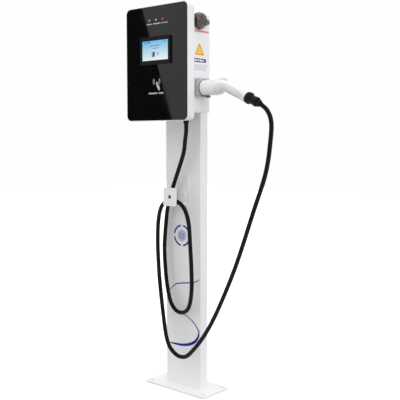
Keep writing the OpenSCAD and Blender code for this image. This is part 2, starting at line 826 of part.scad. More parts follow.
module gland_seal() {
    top = housing_z - gland_flange_t;
    color("dimgray") translate([gland_x, gland_y, top - 9]) difference() {
        cylinder(h = 9, r = cable_r + 3);
        translate([0, 0, -cut]) cylinder(h = 9 + 2 * cut, r = cable_r + 0.3);
    }
}

// ---- emergency stop with its guard ----

module estop_barrel() {
    inner = housing_side - housing_wall;
    color("silver") difference() {
        union() {
            rod_x(housing_side, housing_side + collar_t, collar_r, stop_y, stop_z);
            rod_x(inner - 12, housing_side + 0.1, barrel_r, stop_y, stop_z);
            rod_x(inner - 6, inner, 15, stop_y, stop_z, 6);
        }
        rod_x(inner - 12 - cut, housing_side + collar_t + cut, plunger_d / 2 + slide_fit, stop_y, stop_z);
    }
}

module estop_contacts() {
    inner = housing_side - housing_wall;
    color("lightgray") difference() {
        block([inner - 46, stop_y - 19, stop_z - 19], [inner - 6, stop_y + 19, stop_z + 19]);
        rod_x(inner - 22, inner, barrel_r + loose_fit, stop_y, stop_z);
        for (s = [-1, 1], y = [-1, 1])
            rod_x(inner - 46 - cut, inner - 38, 2.5, stop_y + y * 10, stop_z + s * 12);
    }
}

head_x = housing_side + collar_t + stop_travel + 1;      // underside of the mushroom head
head_len = guard_h - guard_wall - (head_x - housing_side) - 1.5;

module estop_plunger() {
    inner = housing_side - housing_wall;
    color("dimgray") rod_x(inner - 14, head_x + head_len / 2, plunger_d / 2, stop_y, stop_z);
}

module estop_head() {
    r = head_d / 2;
    round_r = 3;
    color("crimson") translate([head_x, stop_y, stop_z]) rotate([0, 90, 0]) difference() {
        rotate_extrude() union() {
            square([r, head_len - round_r]);
            square([r - round_r, head_len]);
            translate([r - round_r, head_len - round_r]) circle(round_r);
        }
        translate([0, 0, -cut]) cylinder(h = head_len / 2 + cut + 0.1, r = plunger_d / 2 + slide_fit);
        // grip ribs moulded into the rim
        for (a = [0:30:330]) rotate(a) translate([r + 0.6, 0, -cut]) cylinder(h = head_len - round_r + cut, r = 1.4);
    }
}

// Outline of the ear seen along X: a tapered tab with a round end and a padlock hole
module ear_outline() {
    reach = ear_reach - ear_r;
    difference() {
        union() {
            polygon([[0, -guard_r + 5], [reach, -ear_r], [reach, ear_r], [0, guard_r - 5]]);
            translate([reach, 0]) circle(ear_r);
        }
        translate([reach, 0]) circle(d = ear_hole_d);
    }
}

// Places a 2D outline (first axis towards +Y, second axis up) and extrudes it along X
module side_plate(x0, t) {
    translate([x0, stop_y, stop_z]) rotate([90, 0, 90]) linear_extrude(t) children();
}

module guard_base() {
    arm_z0 = knuckle_len / 2 + 0.3;
    color("gray") difference() {
        union() {
            side_plate(housing_side, guard_base_t - 0.4) difference() {
                union() {
                    circle(guard_r);
                    difference() {
                        ear_outline();
                        circle(guard_r - 2);
                    }
                }
                circle(collar_r + 0.2);
            }
            for (s = [-1, 1]) {
                z0 = stop_z + (s > 0 ? arm_z0 : -arm_z0 - knuckle_len);
                block([housing_side, hinge_y - knuckle_r, z0],
                      [housing_side + guard_base_t - 0.4, stop_y - guard_r + 6, z0 + knuckle_len]);
                block([housing_side, hinge_y - knuckle_r, z0], [hinge_x, hinge_y + knuckle_r - 0.5, z0 + knuckle_len]);
                translate([hinge_x, hinge_y, z0]) cylinder(h = knuckle_len, r = knuckle_r);
            }
        }
        translate([hinge_x, hinge_y, stop_z - 20]) cylinder(h = 40, r = pin_r + slide_fit);
    }
}

module guard_lid() {
    x0 = housing_side + guard_base_t;
    h = guard_h - guard_base_t;
    r1 = guard_r - 2;
    r2 = guard_r - 8;
    color("gray") difference() {
        union() {
            translate([x0, stop_y, stop_z]) rotate([0, 90, 0]) rotate_extrude() difference() {
                union() {
                    square([guard_r, 3]);
                    polygon([[0, 0], [r1, 0], [r1, h - 7], [r1 - 2, h - 2.5], [r2, h], [0, h]]);
                }
                polygon([[-cut, -cut], [r1 - guard_wall, -cut], [r1 - guard_wall, h - 8],
                         [r1 - guard_wall - 1.6, h - 3.6], [r2 - 1, h - guard_wall], [-cut, h - guard_wall]]);
            }
            side_plate(x0, ear_t) difference() {
                ear_outline();
                circle(guard_r - 2);
            }
            translate([hinge_x, hinge_y, stop_z - knuckle_len / 2]) cylinder(h = knuckle_len, r = knuckle_r);
            block([x0 + 0.4, hinge_y, stop_z - knuckle_len / 2], [hinge_x, stop_y - guard_r + 3, stop_z + knuckle_len / 2]);
        }
        translate([hinge_x, hinge_y, stop_z - 20]) cylinder(h = 40, r = pin_r + slide_fit);
        rod_x(x0 - cut, x0 + 3.2, r1 - guard_wall, stop_y, stop_z);
    }
}

module guard_pin() {
    half = knuckle_len * 1.5 + 0.3;
    color("silver") union() {
        translate([hinge_x, hinge_y, stop_z - half]) cylinder(h = 2 * half, r = pin_r);
        translate([hinge_x, hinge_y, stop_z + half]) cylinder(h = 0.8, r = pin_r + 0.8);
    }
}

// ---- gun holder ----

holder_lift = 2;                      // holder's centre above the gun's axis
holder_screw_r = 2;
holder_screw_at = holder_size / 2 - 5.5;
notch_w = latch_w + 4;

module gun_holder() {
    floor_x = housing_side - nose_len + holder_proud - 4;
    color("gainsboro") difference() {
        union() {
            translate([housing_side, gun_y, gun_z + holder_lift]) rotate([90, 0, 90])
                linear_extrude(holder_proud) rounded(holder_size, holder_size, 7);
            rod_x(floor_x - 3, housing_side + 0.1, cup_r, gun_y, gun_z);
        }
        rod_x(floor_x, holder_face + cut, nose_r + nose_fit, gun_y, gun_z);
        block([floor_x + 6, gun_y - notch_w / 2, gun_z + 5],
              [holder_face + cut, gun_y + notch_w / 2, gun_z + holder_lift + holder_size / 2 + cut]);
        for (y = [-1, 1], z = [-1, 1]) {
            yy = gun_y + y * holder_screw_at;
            zz = gun_z + holder_lift + z * holder_screw_at;
            rod_x(housing_side - cut, holder_face + cut, holder_screw_r + screw_fit, yy, zz);
            rod_x(holder_face - 3, holder_face + cut, 4, yy, zz);
        }
        // pocket for the catch under the bore
        block([holder_face - 8, gun_y - 6.2, gun_z + holder_lift - holder_size / 2 + 0.8],
              [holder_face + cut, gun_y + 6.2, gun_z - nose_r - 0.9]);
    }
}

module holder_screws() {
    color("silver") for (y = [-1, 1], z = [-1, 1]) {
        yy = gun_y + y * holder_screw_at;
        zz = gun_z + holder_lift + z * holder_screw_at;
        union() {
            rod_x(housing_side - housing_wall - 6, holder_face - 3, holder_screw_r, yy, zz);
            rod_x(holder_face - 3, holder_face - 0.8, 3.6, yy, zz);
        }
    }
}

// Black tongue that carries the underside of the parked gun
module holder_catch() {
    z0 = gun_z + holder_lift - holder_size / 2 + 0.8;
    z1 = gun_z - nose_r - 1;
    top = gun_z - barrel_d / 2 - 0.4;
    color("dimgray") union() {
        block([holder_face - 7.9, gun_y - 6, z0 + 0.1], [holder_face, gun_y + 6, min(z1, top)]);
        block([holder_face, gun_y - 6, z0 - 2], [holder_face + 26, gun_y + 6, top]);
        block([holder_face + 14, gun_y - 6, z0 - 6], [holder_face + 26, gun_y + 6, z0]);
    }
}

// ---- charging gun ----

pins = concat([for (k = [0:3]) [9 * cos(k * 90 + 45) * 1.25, 9 * sin(k * 90 + 45) * 1.1 - 2, 3]],
              [[0, -2, 3.4], [-8, 15, 1.8], [8, 15, 1.8]]);

module gun_nose() {
    tip = gun_x0 - seal_t - seal_gap - nose_len;
    color("dimgray") difference() {
        rod_x(tip, gun_x0 + nose_root, nose_r, gun_y, gun_z);
        block([tip - cut, gun_y - notch_w / 2, latch_floor],
              [gun_x0 + nose_root + cut, gun_y + notch_w / 2, gun_z + nose_r + cut]);
        for (p = pins) rod_x(tip - cut, tip + 24, p[2] + 0.4, gun_y + p[0], gun_z + p[1]);
    }
}

module gun_contacts() {
    tip = gun_x0 - seal_t - seal_gap - nose_len;
    color("goldenrod") for (p = pins)
        rod_x(tip + 3, tip + 24, p[2], gun_y + p[0], gun_z + p[1]);
}

module gun_seal() {
    color("dimgray") difference() {
        rod_x(gun_x0 - seal_t, gun_x0, barrel_d / 2 - 0.4, gun_y, gun_z);
        rod_x(gun_x0 - seal_t - cut, gun_x0 + cut, nose_r + 0.05, gun_y, gun_z);
        block([gun_x0 - seal_t - cut, gun_y - notch_w / 2, gun_z],
              [gun_x0 + cut, gun_y + notch_w / 2, gun_z + barrel_d]);
    }
}

screw_spots = [[gun_x0 + 22, gun_z - 17], [gun_x1 - 8, gun_z - 15],
               [handle_x + 20, handle_z - 12], [handle_x + 66, handle_z - 32]];

// Points on the handle's axis, a distance along it from its front centre
function grip(t) = [handle_x + t * cos(handle_tilt), gun_y, handle_z - t * sin(handle_tilt)];

module gun_form() {
    rod_x(gun_x0, gun_x1, barrel_d / 2, gun_y, gun_z);
    hull() {
        rod_x(gun_x1 - 4, gun_x1, barrel_d / 2, gun_y, gun_z, 32);
        translate([gun_x1 + 14, gun_y, gun_z - 2]) sphere(barrel_d / 2 - 3.5, $fn = 32);
        translate([handle_x, gun_y, handle_z]) sphere(handle_r + 2, $fn = 32);
    }
    hull() {
        translate([handle_x, gun_y, handle_z]) sphere(handle_r + 2, $fn = 32);
        translate(grip(handle_len - 4)) rotate([0, 90 + handle_tilt, 0]) cylinder(h = 4, r = handle_r, $fn = 32);
    }
}

module gun_shell(side) {
    difference() {
        gun_form();
        block([gun_x0 - 100, side > 0 ? gun_y - 100 : gun_y, gun_z - 300],
              [gun_x0 + 400, side > 0 ? gun_y : gun_y + 100, gun_z + 100]);
        rod_x(gun_x0 - cut, gun_x0 + nose_root, nose_r + 0.05, gun_y, gun_z);
        block([gun_x0 - cut, gun_y - latch_w / 2 - latch_gap, latch_floor],
              [gun_x0 + 110, gun_y + latch_w / 2 + latch_gap, gun_z + 60]);
        rod_y(gun_y - 10, gun_y + 10, pin_r + 0.8, latch_pivot_x, latch_pivot_z);
        // wire duct down the handle
        translate(grip(-8)) rotate([0, 90 + handle_tilt, 0]) cylinder(h = handle_len + 20, r = 10);
        for (p = screw_spots) {
            rod_y(gun_y - 10, gun_y + 16, 1.5 + screw_fit, p[0], p[1]);
            rod_y(gun_y + 14, gun_y + 60, 3.2, p[0], p[1]);
        }
    }
}

module gun_shell_left() { color("white") gun_shell(-1); }
module gun_shell_right() { color("white") gun_shell(1); }

module gun_screws() {
    color("silver") for (p = screw_spots) union() {
        rod_y(gun_y - 9.5, gun_y + 14, 1.5, p[0], p[1]);
        rod_y(gun_y + 14, gun_y + 16.5, 3, p[0], p[1]);
    }
}

// Lever along the gun's top: a hook over the nose, a pivot and a thumb button behind
module gun_latch() {
    y0 = gun_y - latch_w / 2;
    y1 = gun_y + latch_w / 2;
    top = gun_z + barrel_d / 2;
    color("white") difference() {
        union() {
            block([gun_x0 - 16, y0, top - 3.4], [gun_x0 + 62, y1, top - 0.4]);
            block([gun_x0 - 16, y0, latch_floor + 1.2], [gun_x0 - 12, y1, top - 2]);
            translate([latch_pivot_x, y1, latch_pivot_z]) rotate([90, 0, 0]) cylinder(h = latch_w, r = 3);
            block([gun_x0 + 60, y0, top - 4.4], [gun_x0 + 105, y1, top - 0.4]);
            block([gun_x0 + 62, y0, top - 1], [gun_x0 + 103, y1, top + 3.4]);
        }
        rod_y(gun_y - 10, gun_y + 10, pin_r + 0.8 + slide_fit, latch_pivot_x, latch_pivot_z);
    }
}

module latch_pin() {
    color("silver") rod_y(gun_y - 9.8, gun_y + 9.8, pin_r + 0.75, latch_pivot_x, latch_pivot_z);
}

module gun_collar() {
    color("dimgray") translate(grip(handle_len)) rotate([0, 90 + handle_tilt, 0]) difference() {
        union() {
            cylinder(h = 12, r = grip_ring_r);
            cylinder(h = collar_len, r = handle_r - 3.5);
            for (a = [0:30:330]) rotate(a) translate([grip_ring_r - 0.3, 0, 1.5]) cylinder(h = 9, r = 1);
        }
        translate([0, 0, -cut]) cylinder(h = collar_len + 2 * cut, r = 12);
    }
}

module gun_boot() {
    n = 3;
    color("dimgray") translate(grip(handle_len)) rotate([0, 90 + handle_tilt, 0]) difference() {
        union() {
            translate([0, 0, 8]) cylinder(h = collar_len - 8, r = 11.9);
            translate([0, 0, collar_len]) cylinder(h = boot_len, r1 = 13, r2 = cable_r + 2);
            for (k = [0:n - 1]) translate([0, 0, collar_len + 1.5 + k * (boot_len - 2) / n])
                cylinder(h = (boot_len - 2) / n / 2, r = 13.4 - k * 1.1);
        }
        translate([0, 0, 8 - cut]) cylinder(h = collar_len - 4, r = 5);
    }
}

// ---- cable hanger ----

module hanger_mount() {
    color("whitesmoke") difference() {
        upright(post_front - mount_t, post_front, 0, mount_z + mount_h / 2) rounded(mount_w, mount_h, 8);
        for (x = [-1, 1], z = mount_screw_zs)
            rod_y(-post_d, 0, mount_screw_r + screw_fit, x * mount_screw_x, z);
    }
}

module hanger_hook() {
    rear = post_front - mount_t;
    tilt = asin(saddle_w / 2 / saddle_r);
    color("gainsboro") difference() {
        union() {
            upright(hook_y, hook_y + hook_t, 0, hook_z + hook_h / 2) rounded(hook_w, hook_h, 7);
            difference() {
                rod_y(hook_y + 0.5, rear, saddle_r, 0, saddle_cz, 96);
                rod_y(hook_y - cut, rear + cut, saddle_r - hook_t, 0, saddle_cz, 96);
                block([-saddle_r - cut, hook_y - cut, saddle_cz - saddle_r - cut],
                      [saddle_r + cut, rear + cut, saddle_cz + saddle_r * cos(tilt) - hook_t]);
                for (s = [-1, 1])
                    block([s > 0 ? saddle_w / 2 : -saddle_r - cut, hook_y - cut, saddle_cz],
                          [s > 0 ? saddle_r + cut : -saddle_w / 2, rear + cut, saddle_z + cut]);
            }
            // rear foot of the bent strip
            upright(rear - hook_t, rear, 0, saddle_z + 16) rounded(30, 44, 5);
        }
        rod_y(hook_y - cut, hook_y + hook_t + cut, 5.5, 0, hook_hole_z);
        rod_y(rear - hook_t - cut, rear + cut, mount_screw_r + screw_fit, 0, saddle_z + 28);
    }
}

module hanger_screws() {
    head_t = 2.4;
    face = post_front - mount_t;
    color("silver") union() {
        for (x = [-1, 1], z = mount_screw_zs) union() {
            rod_y(face, post_front + post_wall + 5, mount_screw_r, x * mount_screw_x, z);
            rod_y(face - head_t, face, 4.6, x * mount_screw_x, z);
        }
    }
}

// ---- charging cable ----

function spline(a, b, c, d, t) =
    0.5 * (2 * b + (c - a) * t + (2 * a - 5 * b + 4 * c - d) * t * t + (3 * b - a - 3 * c + d) * t * t * t);
BOOT_DIR = [cos(handle_tilt), 0, -sin(handle_tilt)];
BOOT_TIP = grip(handle_len + collar_len + boot_len + boot_gap);
FULL = concat(ROUTE, [BOOT_TIP]);
LAST = len(FULL) - 1;
SMOOTH = concat([for (i = [0:LAST - 1], k = [0:FINE - 1])
    spline(FULL[max(i - 1, 0)], FULL[i], FULL[i + 1], FULL[min(i + 2, LAST)], k / FINE)], [FULL[LAST]]);
STEPS = [for (i = [1:len(SMOOTH) - 1]) norm(SMOOTH[i] - SMOOTH[i - 1])];
ALONG = [for (i = 0, s = 0; i <= len(STEPS); s = s + (i < len(STEPS) ? STEPS[i] : 0), i = i + 1) s];
CABLE_LENGTH = ALONG[len(ALONG) - 1];
RINGS = round(CABLE_LENGTH / RING_SPACING);

// The point a distance s along the smooth centre line
function at(s, i = 1) = i >= len(ALONG) - 1 || ALONG[i] >= s
    ? SMOOTH[i - 1] + (SMOOTH[i] - SMOOTH[i - 1]) * (s - ALONG[i - 1]) / STEPS[i - 1]
    : at(s, i + 1);

module charging_cable() {
    centres = [for (k = [0:RINGS]) at(CABLE_LENGTH * k / RINGS)];
    rings = [for (k = [0:RINGS])
        let (ahead = centres[min(k + 1, RINGS)] - centres[max(k - 1, 0)],
             way = k == RINGS ? -BOOT_DIR : (k == 0 ? [0, 0, -1] : ahead / norm(ahead)),
             side = cross(way, [0, 1, 0]) / norm(cross(way, [0, 1, 0])),
             up = cross(side, way))
        [for (j = [0:SIDES - 1])
            centres[k] + cable_r * (cos(j * 360 / SIDES) * side + sin(j * 360 / SIDES) * up)]];
    points = [for (ring = rings, p = ring) p];
    walls = [for (k = [0:RINGS - 1], j = [0:SIDES - 1])
        let (a = k * SIDES + j, b = k * SIDES + (j + 1) % SIDES) [a, b, b + SIDES, a + SIDES]];
    first = [for (j = [SIDES - 1:-1:0]) j];
    last = [for (j = [0:SIDES - 1]) RINGS * SIDES + j];
    color("dimgray") polyhedron(points = points, faces = concat(walls, [first, last]), convexity = 10);
}

base_plate();
post_column();
post_rear_cover();
post_cover_screws();
post_top_cap();
mounting_bracket();
bracket_bolts();
rear_housing();
housing_screws();
cover_gasket();
front_cover();
cover_screws();
display_chassis();
front_glass();
lcd_bezel();
lcd_lens();
lcd_panel();
led_green();
led_yellow();
led_red();
led_board();
reader_board();
control_board();
board_standoffs();
din_rail();
contactor();
breaker_body();
breaker_toggle();
energy_meter();
terminal_block();
earth_bar();
supply_grommet();
cable_gland();
gland_nut();
gland_seal();
estop_barrel();
estop_contacts();
estop_plunger();
estop_head();
guard_base();
guard_lid();
guard_pin();
gun_holder();
holder_screws();
holder_catch();
gun_nose();
gun_contacts();
gun_seal();
gun_shell_left();
gun_shell_right();
gun_screws();
gun_latch();
latch_pin();
gun_collar();
gun_boot();
hanger_mount();
hanger_hook();
hanger_screws();
charging_cable();
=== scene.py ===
import math

import bmesh
import bpy
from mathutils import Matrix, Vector


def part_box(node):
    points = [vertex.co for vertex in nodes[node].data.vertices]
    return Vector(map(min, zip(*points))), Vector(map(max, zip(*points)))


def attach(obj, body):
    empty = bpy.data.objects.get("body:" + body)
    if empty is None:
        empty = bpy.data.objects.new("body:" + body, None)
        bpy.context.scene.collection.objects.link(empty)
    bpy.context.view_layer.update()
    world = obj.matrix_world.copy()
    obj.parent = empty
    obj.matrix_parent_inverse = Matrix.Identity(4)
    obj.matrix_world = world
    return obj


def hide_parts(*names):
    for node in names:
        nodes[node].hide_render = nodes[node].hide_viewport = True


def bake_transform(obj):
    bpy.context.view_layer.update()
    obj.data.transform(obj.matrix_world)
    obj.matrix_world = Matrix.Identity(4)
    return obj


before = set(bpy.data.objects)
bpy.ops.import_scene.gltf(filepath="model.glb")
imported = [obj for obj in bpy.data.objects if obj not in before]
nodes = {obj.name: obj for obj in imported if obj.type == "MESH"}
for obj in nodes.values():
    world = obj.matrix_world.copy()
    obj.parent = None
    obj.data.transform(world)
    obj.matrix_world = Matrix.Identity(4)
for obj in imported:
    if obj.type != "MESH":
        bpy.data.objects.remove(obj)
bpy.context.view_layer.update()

# ---- Camera ----
# Stands to the right of the post at chest height, about 2.7 m away, and looks a little down.
MM = 0.001                               # sizes below are in millimetres, meshes in metres
AZIMUTH, PITCH, DISTANCE = 41.37, 4.87, 2668
AIM = Vector((84.4, -19.0, 713.0))
SENSOR_W, FOCAL = 36, 66.28              # of the lens, in millimetres
turn, tip = math.radians(AZIMUTH), math.radians(PITCH)
backwards = Vector((math.sin(turn) * math.cos(tip), -math.cos(turn) * math.cos(tip), math.sin(tip)))
camera = bpy.data.objects.new("camera", bpy.data.cameras.new("camera"))
bpy.context.scene.collection.objects.link(camera)
camera.location = (AIM + backwards * DISTANCE) * MM
camera.rotation_euler = backwards.to_track_quat("Z", "Y").to_euler()
camera.data.sensor_width = SENSOR_W
camera.data.lens = FOCAL
camera.data.clip_end = 60
bpy.context.scene.camera = camera

# ---- Charging cable ----
# A 15 mm three-core charging lead in a black polyurethane jacket. It leaves the gland under the
# box, hangs in a long loop behind the hook, goes over the hook and rises in a wide bow to the gun.
CABLE_D = 15
ROUTE = [
    (70, -77, 1046), (70, -77, 1000), (67, -74, 960), (56, -68, 925), (38, -59, 875),
    (-26, -45, 755), (-58, -38, 685), (-70, -38, 610), (-77, -38, 530), (-70, -41, 450),
    (-60, -41, 380), (-41, -43, 325), (-8, -48, 297), (34, -54, 297), (68, -61, 325),
    (85, -66, 385), (81, -62, 465), (75, -62, 550), (75, -69, 626), (62, -75, 678),
    (34, -76, 703.5), (0, -77, 711), (-34, -76, 703.5), (-61, -74, 677), (-75, -73, 624),
    (-76, -75, 550), (-71, -77, 480), (-63, -78, 400), (-45, -79, 280), (-30, -77, 195),
    (-5, -76, 154), (43, -79, 138), (95, -81, 164), (188, -82, 280), (290, -81, 480),
    (372, -80, 690), (422, -79, 825), (441, -80, 935), (442, -80, 992), (426, -80, 1026),
]
FINE = 12                                # steps of the smooth line between two route points


def box(name):
    """A CAD node's lowest and highest corners, in millimetres."""
    low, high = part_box(name)
    return low / MM, high / MM


def curve_through(points, steps):
    """A smooth line through the points (Catmull-Rom), with that many steps between two of them."""
    points = [Vector(p) for p in points]
    line = []
    for i in range(len(points) - 1):
        a, b = points[max(i - 1, 0)], points[i]
        c, d = points[i + 1], points[min(i + 2, len(points) - 1)]
        for k in range(steps):
            t = k / steps
            line.append((b * 2 + (c - a) * t + (a * 2 - b * 5 + c * 4 - d) * t * t
                         + (b * 3 - a - c * 3 + d) * t ** 3) / 2)
    return line + [points[-1]]


def hex_colour(code):
    """An sRGB hex colour as the linear RGBA that a shader takes."""
    parts = [int(code[i:i + 2], 16) / 255 for i in (1, 3, 5)]
    return [c / 12.92 if c <= 0.04045 else ((c + 0.055) / 1.055) ** 2.4 for c in parts] + [1]


def add(tree, kind, inputs=(), **settings):
    """Adds a shader node: its settings, then its inputs, each a value or another node's socket."""
    made = tree.nodes.new("ShaderNode" + kind)
    for key, value in settings.items():
        setattr(made, key, value)
    for key, value in dict(inputs).items():
        if isinstance(value, bpy.types.NodeSocket):
            tree.links.new(value, made.inputs[key])
        else:
            made.inputs[key].default_value = value
    return made


def start_material(name, **surface):
    """A new material with those values on its surface shader; returns it, its tree and its shader."""
    made = bpy.data.materials.new(name)
    made.use_nodes = True
    shader = made.node_tree.nodes["Principled BSDF"]
    for key, value in surface.items():
        shader.inputs[key.replace("_", " ")].default_value = value
    return made, made.node_tree, shader


def grained(name, colours, gloss, grain, depth, patch=60, **surface):
    """A material whose colour drifts between two hex values over patches of that size, whose
    roughness drifts between two values, and whose surface has a grain of that size and depth."""
    made, tree, shader = start_material(name, **surface)
    where = add(tree, "TexCoord").outputs["Object"]
    drift = add(tree, "TexNoise", {"Vector": where, "Scale": 1000 / patch, "Detail": 4.0}).outputs["Fac"]
    blend = add(tree, "ValToRGB", {"Fac": drift})
    for stop, place, colour in zip(blend.color_ramp.elements, (0.35, 0.65), colours):
        stop.position, stop.color = place, hex_colour(colour)
    fine = add(tree, "TexNoise", {"Vector": where, "Scale": 1000 / grain, "Detail": 2.0}).outputs["Fac"]
    rough = add(tree, "MapRange", {"Value": fine, "From Min": 0.3, "From Max": 0.7,
                                   "To Min": gloss[0], "To Max": gloss[1]})
    bump = add(tree, "Bump", {"Height": fine, "Distance": depth * MM, "Strength": 0.6})
    tree.links.new(blend.outputs["Color"], shader.inputs["Base Color"])
    tree.links.new(rough.outputs["Result"], shader.inputs["Roughness"])
    tree.links.new(bump.outputs["Normal"], shader.inputs["Normal"])
    return made


def piece(name, points, faces, material, body, slot=None, replaces=(), smooth=True, turn_edge=0.0):
    """Makes a mesh from millimetre points, gives it its material and lets it ride on a body.
    turn_edge rounds its sharp edges by that many millimetres."""
    mesh = bpy.data.meshes.new(name)
    mesh.from_pydata([Vector(p) * MM for p in points], [], faces)
    work = bmesh.new()
    work.from_mesh(mesh)
    bmesh.ops.recalc_face_normals(work, faces=work.faces)
    work.to_mesh(mesh)
    work.free()
    return settle(name, mesh, material, body, replaces, smooth, turn_edge)


def settle(name, mesh, material, body, replaces=(), smooth=True, turn_edge=0.0):
    """Links a finished mesh as a piece of that body."""
    made = bpy.data.objects.new(name, mesh)
    bpy.context.scene.collection.objects.link(made)
    mesh.materials.append(material)
    if turn_edge:
        round_edges(made, turn_edge)
    if smooth:
        mesh.shade_smooth()
        mesh.set_sharp_from_angle(angle=math.radians(38))
    if body:
        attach(made, body)
    if replaces:
        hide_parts(*replaces)
    return made


def round_edges(thing, radius, segments=3):
    """Rounds a piece's sharp edges, as a mould or a sander leaves them."""
    edge = thing.modifiers.new("edge", "BEVEL")
    edge.width = radius * MM
    edge.segments = segments
    edge.limit_method = "ANGLE"
    edge.angle_limit = math.radians(35)
    edge.harden_normals = True


def tube(line, radii, sides):
    """Points and faces of a closed round tube along a line; radii is one value or one for each point."""
    radii = radii if isinstance(radii, list) else [radii] * len(line)
    points, faces, side = [], [], None
    for i, centre in enumerate(line):
        way = (line[min(i + 1, len(line) - 1)] - line[max(i - 1, 0)]).normalized()
        side = (side - way * side.dot(way)).normalized() if side else way.orthogonal().normalized()
        up = way.cross(side)
        for k in range(sides):
            a = 2 * math.pi * k / sides
            points.append(centre + (side * math.cos(a) + up * math.sin(a)) * radii[i])
    for i in range(len(line) - 1):
        for k in range(sides):
            a, b = i * sides + k, i * sides + (k + 1) % sides
            faces.append((a, b, b + sides, a + sides))
    faces.append(tuple(reversed(range(sides))))
    faces.append(tuple(range(len(points) - sides, len(points))))
    return points, faces


# Polyurethane jacket, extruded: a soft black sheen, with fine draw lines that show as a silky grain
jacket = grained("polyurethane_cable_jacket", ("#080808", "#0E0E0F"), (0.38, 0.5), 2.5, 0.12,
                 patch=90, Specular_IOR_Level=0.1)
ROUTE_END = (400.4, -80.0, 1046.5)       # the centre of the boot's end face
cable_line = curve_through(ROUTE + [ROUTE_END], FINE)
cable = piece("charging_cable_jacket", *tube(cable_line, CABLE_D / 2, 24), jacket, None,
              "cable_black", ["charging_cable"])
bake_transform(cable)

# ---- Studio ----
# A seamless white sweep under a soft daylight tent, brightest overhead and dimmer towards the
# floor, with a large soft light high on the right. The camera sees plain white behind it all.
TENT_LOW, TENT_LEVEL, TENT_TOP = 0.36, 0.72, 1.25   # how bright the tent is below, at eye level and above
scene = bpy.context.scene
scene.view_settings.view_transform = "Standard"
world = bpy.data.worlds.new("tent")
scene.world = world
world.use_nodes = True
tree = world.node_tree
sky = tree.nodes["Background"]
sky.inputs["Strength"].default_value = 1.0
where = add(tree, "TexCoord").outputs["Generated"]
height = add(tree, "SeparateXYZ", {"Vector": where}).outputs["Z"]
rise = add(tree, "MapRange", {"Value": height, "From Min": -1.0, "From Max": 1.0}).outputs["Result"]
tent = add(tree, "ValToRGB", {"Fac": rise})
tent.color_ramp.elements[0].color = [TENT_LOW] * 3 + [1]
tent.color_ramp.elements[1].color = [TENT_TOP] * 3 + [1]
tent.color_ramp.elements.new(0.5).color = [TENT_LEVEL] * 3 + [1]
tree.links.new(tent.outputs["Color"], sky.inputs["Color"])
seen = add(tree, "Background", {"Color": hex_colour("#FEFEFE"), "Strength": 1.0})
is_camera = add(tree, "LightPath").outputs["Is Camera Ray"]
chosen = add(tree, "MixShader", {0: is_camera, 1: sky.outputs["Background"], 2: seen.outputs["Background"]})
tree.links.new(chosen.outputs["Shader"], tree.nodes["World Output"].inputs["Surface"])

# The floor is a light table: lit from below as well, so only a soft contact shadow shows on it
FLOOR_REACH = 9000
floor_paint = grained("white_sweep", ("#FBFBFB", "#FFFFFF"), (0.8, 0.9), 4, 0.02, patch=900,
                      Emission_Color=(1, 1, 1, 1), Emission_Strength=0.5)
floor_corners = [(x * FLOOR_REACH, y * FLOOR_REACH, -0.5) for x, y in ((-1, -1), (1, -1), (1, 1), (-1, 1))]
floor = piece("floor", floor_corners, [(0, 1, 2, 3)], floor_paint, None, smooth=False)
floor.visible_diffuse = False


def soft_light(name, place, aim, size, watts):
    """A square soft box at a place, turned to its aim, both in millimetres."""
    light = bpy.data.lights.new(name, "AREA")
    light.size = size * MM
    light.energy = watts
    lamp = bpy.data.objects.new(name, light)
    bpy.context.scene.collection.objects.link(lamp)
    lamp.location = Vector(place) * MM
    lamp.rotation_euler = (Vector(place) - Vector(aim)).to_track_quat("Z", "Y").to_euler()
    return lamp


soft_light("key_light", (3200, -900, 2600), (0, 0, 800), 1800, 22)

# a black flag at the left front, seen only in glossy surfaces: the dark half of the glass shows it
flag_black = grained("flag_cloth", ("#050505", "#080808"), (0.9, 1.0), 20, 0.1)
FLAG_Y = -1500
FLAG_OUTLINE = [(-2048, 2618), (-6000, 2600), (-6000, 300), (-1089, 700), (-1199, 1042), (-1448, 1718)]
flag = piece("flag", [(x, FLAG_Y, z) for x, z in FLAG_OUTLINE], [tuple(range(len(FLAG_OUTLINE)))],
             flag_black, None, smooth=False)
flag.visible_camera = False
flag.visible_diffuse = False
flag.visible_shadow = False
flag.visible_transmission = False


def dress(material, *names, edge=0.0):
    """Gives CAD nodes their material, and rounds their sharp edges by that many millimetres."""
    for name in names:
        mesh = nodes[name].data
        mesh.materials.clear()
        mesh.materials.append(material)
        if edge:
            round_edges(nodes[name], edge)


# ---- Floor plate and column ----
# A welded floor plate and a folded 2.5 mm steel column with a screwed-on rear cover, all in white
# polyester powder coat: even, slightly orange-peeled, a little less glossy than moulded plastic.
powder_coat = grained("white_powder_coat", ("#EFEFF1", "#F5F5F6"), (0.36, 0.5), 2.2, 0.05, patch=220)
dress(powder_coat, "base_plate", edge=1.2)
dress(powder_coat, "post_column", edge=0.8)
dress(powder_coat, "post_rear_cover", edge=0.5)
# Zinc-plated steel screws: bright, bluish metal with a fine turned grain
zinc = grained("zinc_plated_steel", ("#B4B8BD", "#C9CCD0"), (0.22, 0.4), 0.6, 0.01, patch=8, Metallic=1.0)
dress(zinc, "post_cover_screws", edge=0.25)
# Black polyamide plugs and caps: matt, with the fine texture of an eroded mould
black_polyamide = grained("black_polyamide", ("#101011", "#171718"), (0.42, 0.58), 1.2, 0.05, patch=30)
dress(black_polyamide, "post_top_cap", edge=0.8)

# ---- Column graphics ----
# A plain roundel of blue arcs round a pale disc, and a blue line that winds down the column:
# cut from 0.1 mm self-adhesive vinyl and rolled on to the powder coat.
VINYL_T = 0.12
SECOND_LIFT = VINYL_T + 0.04             # where a second film lies on the first


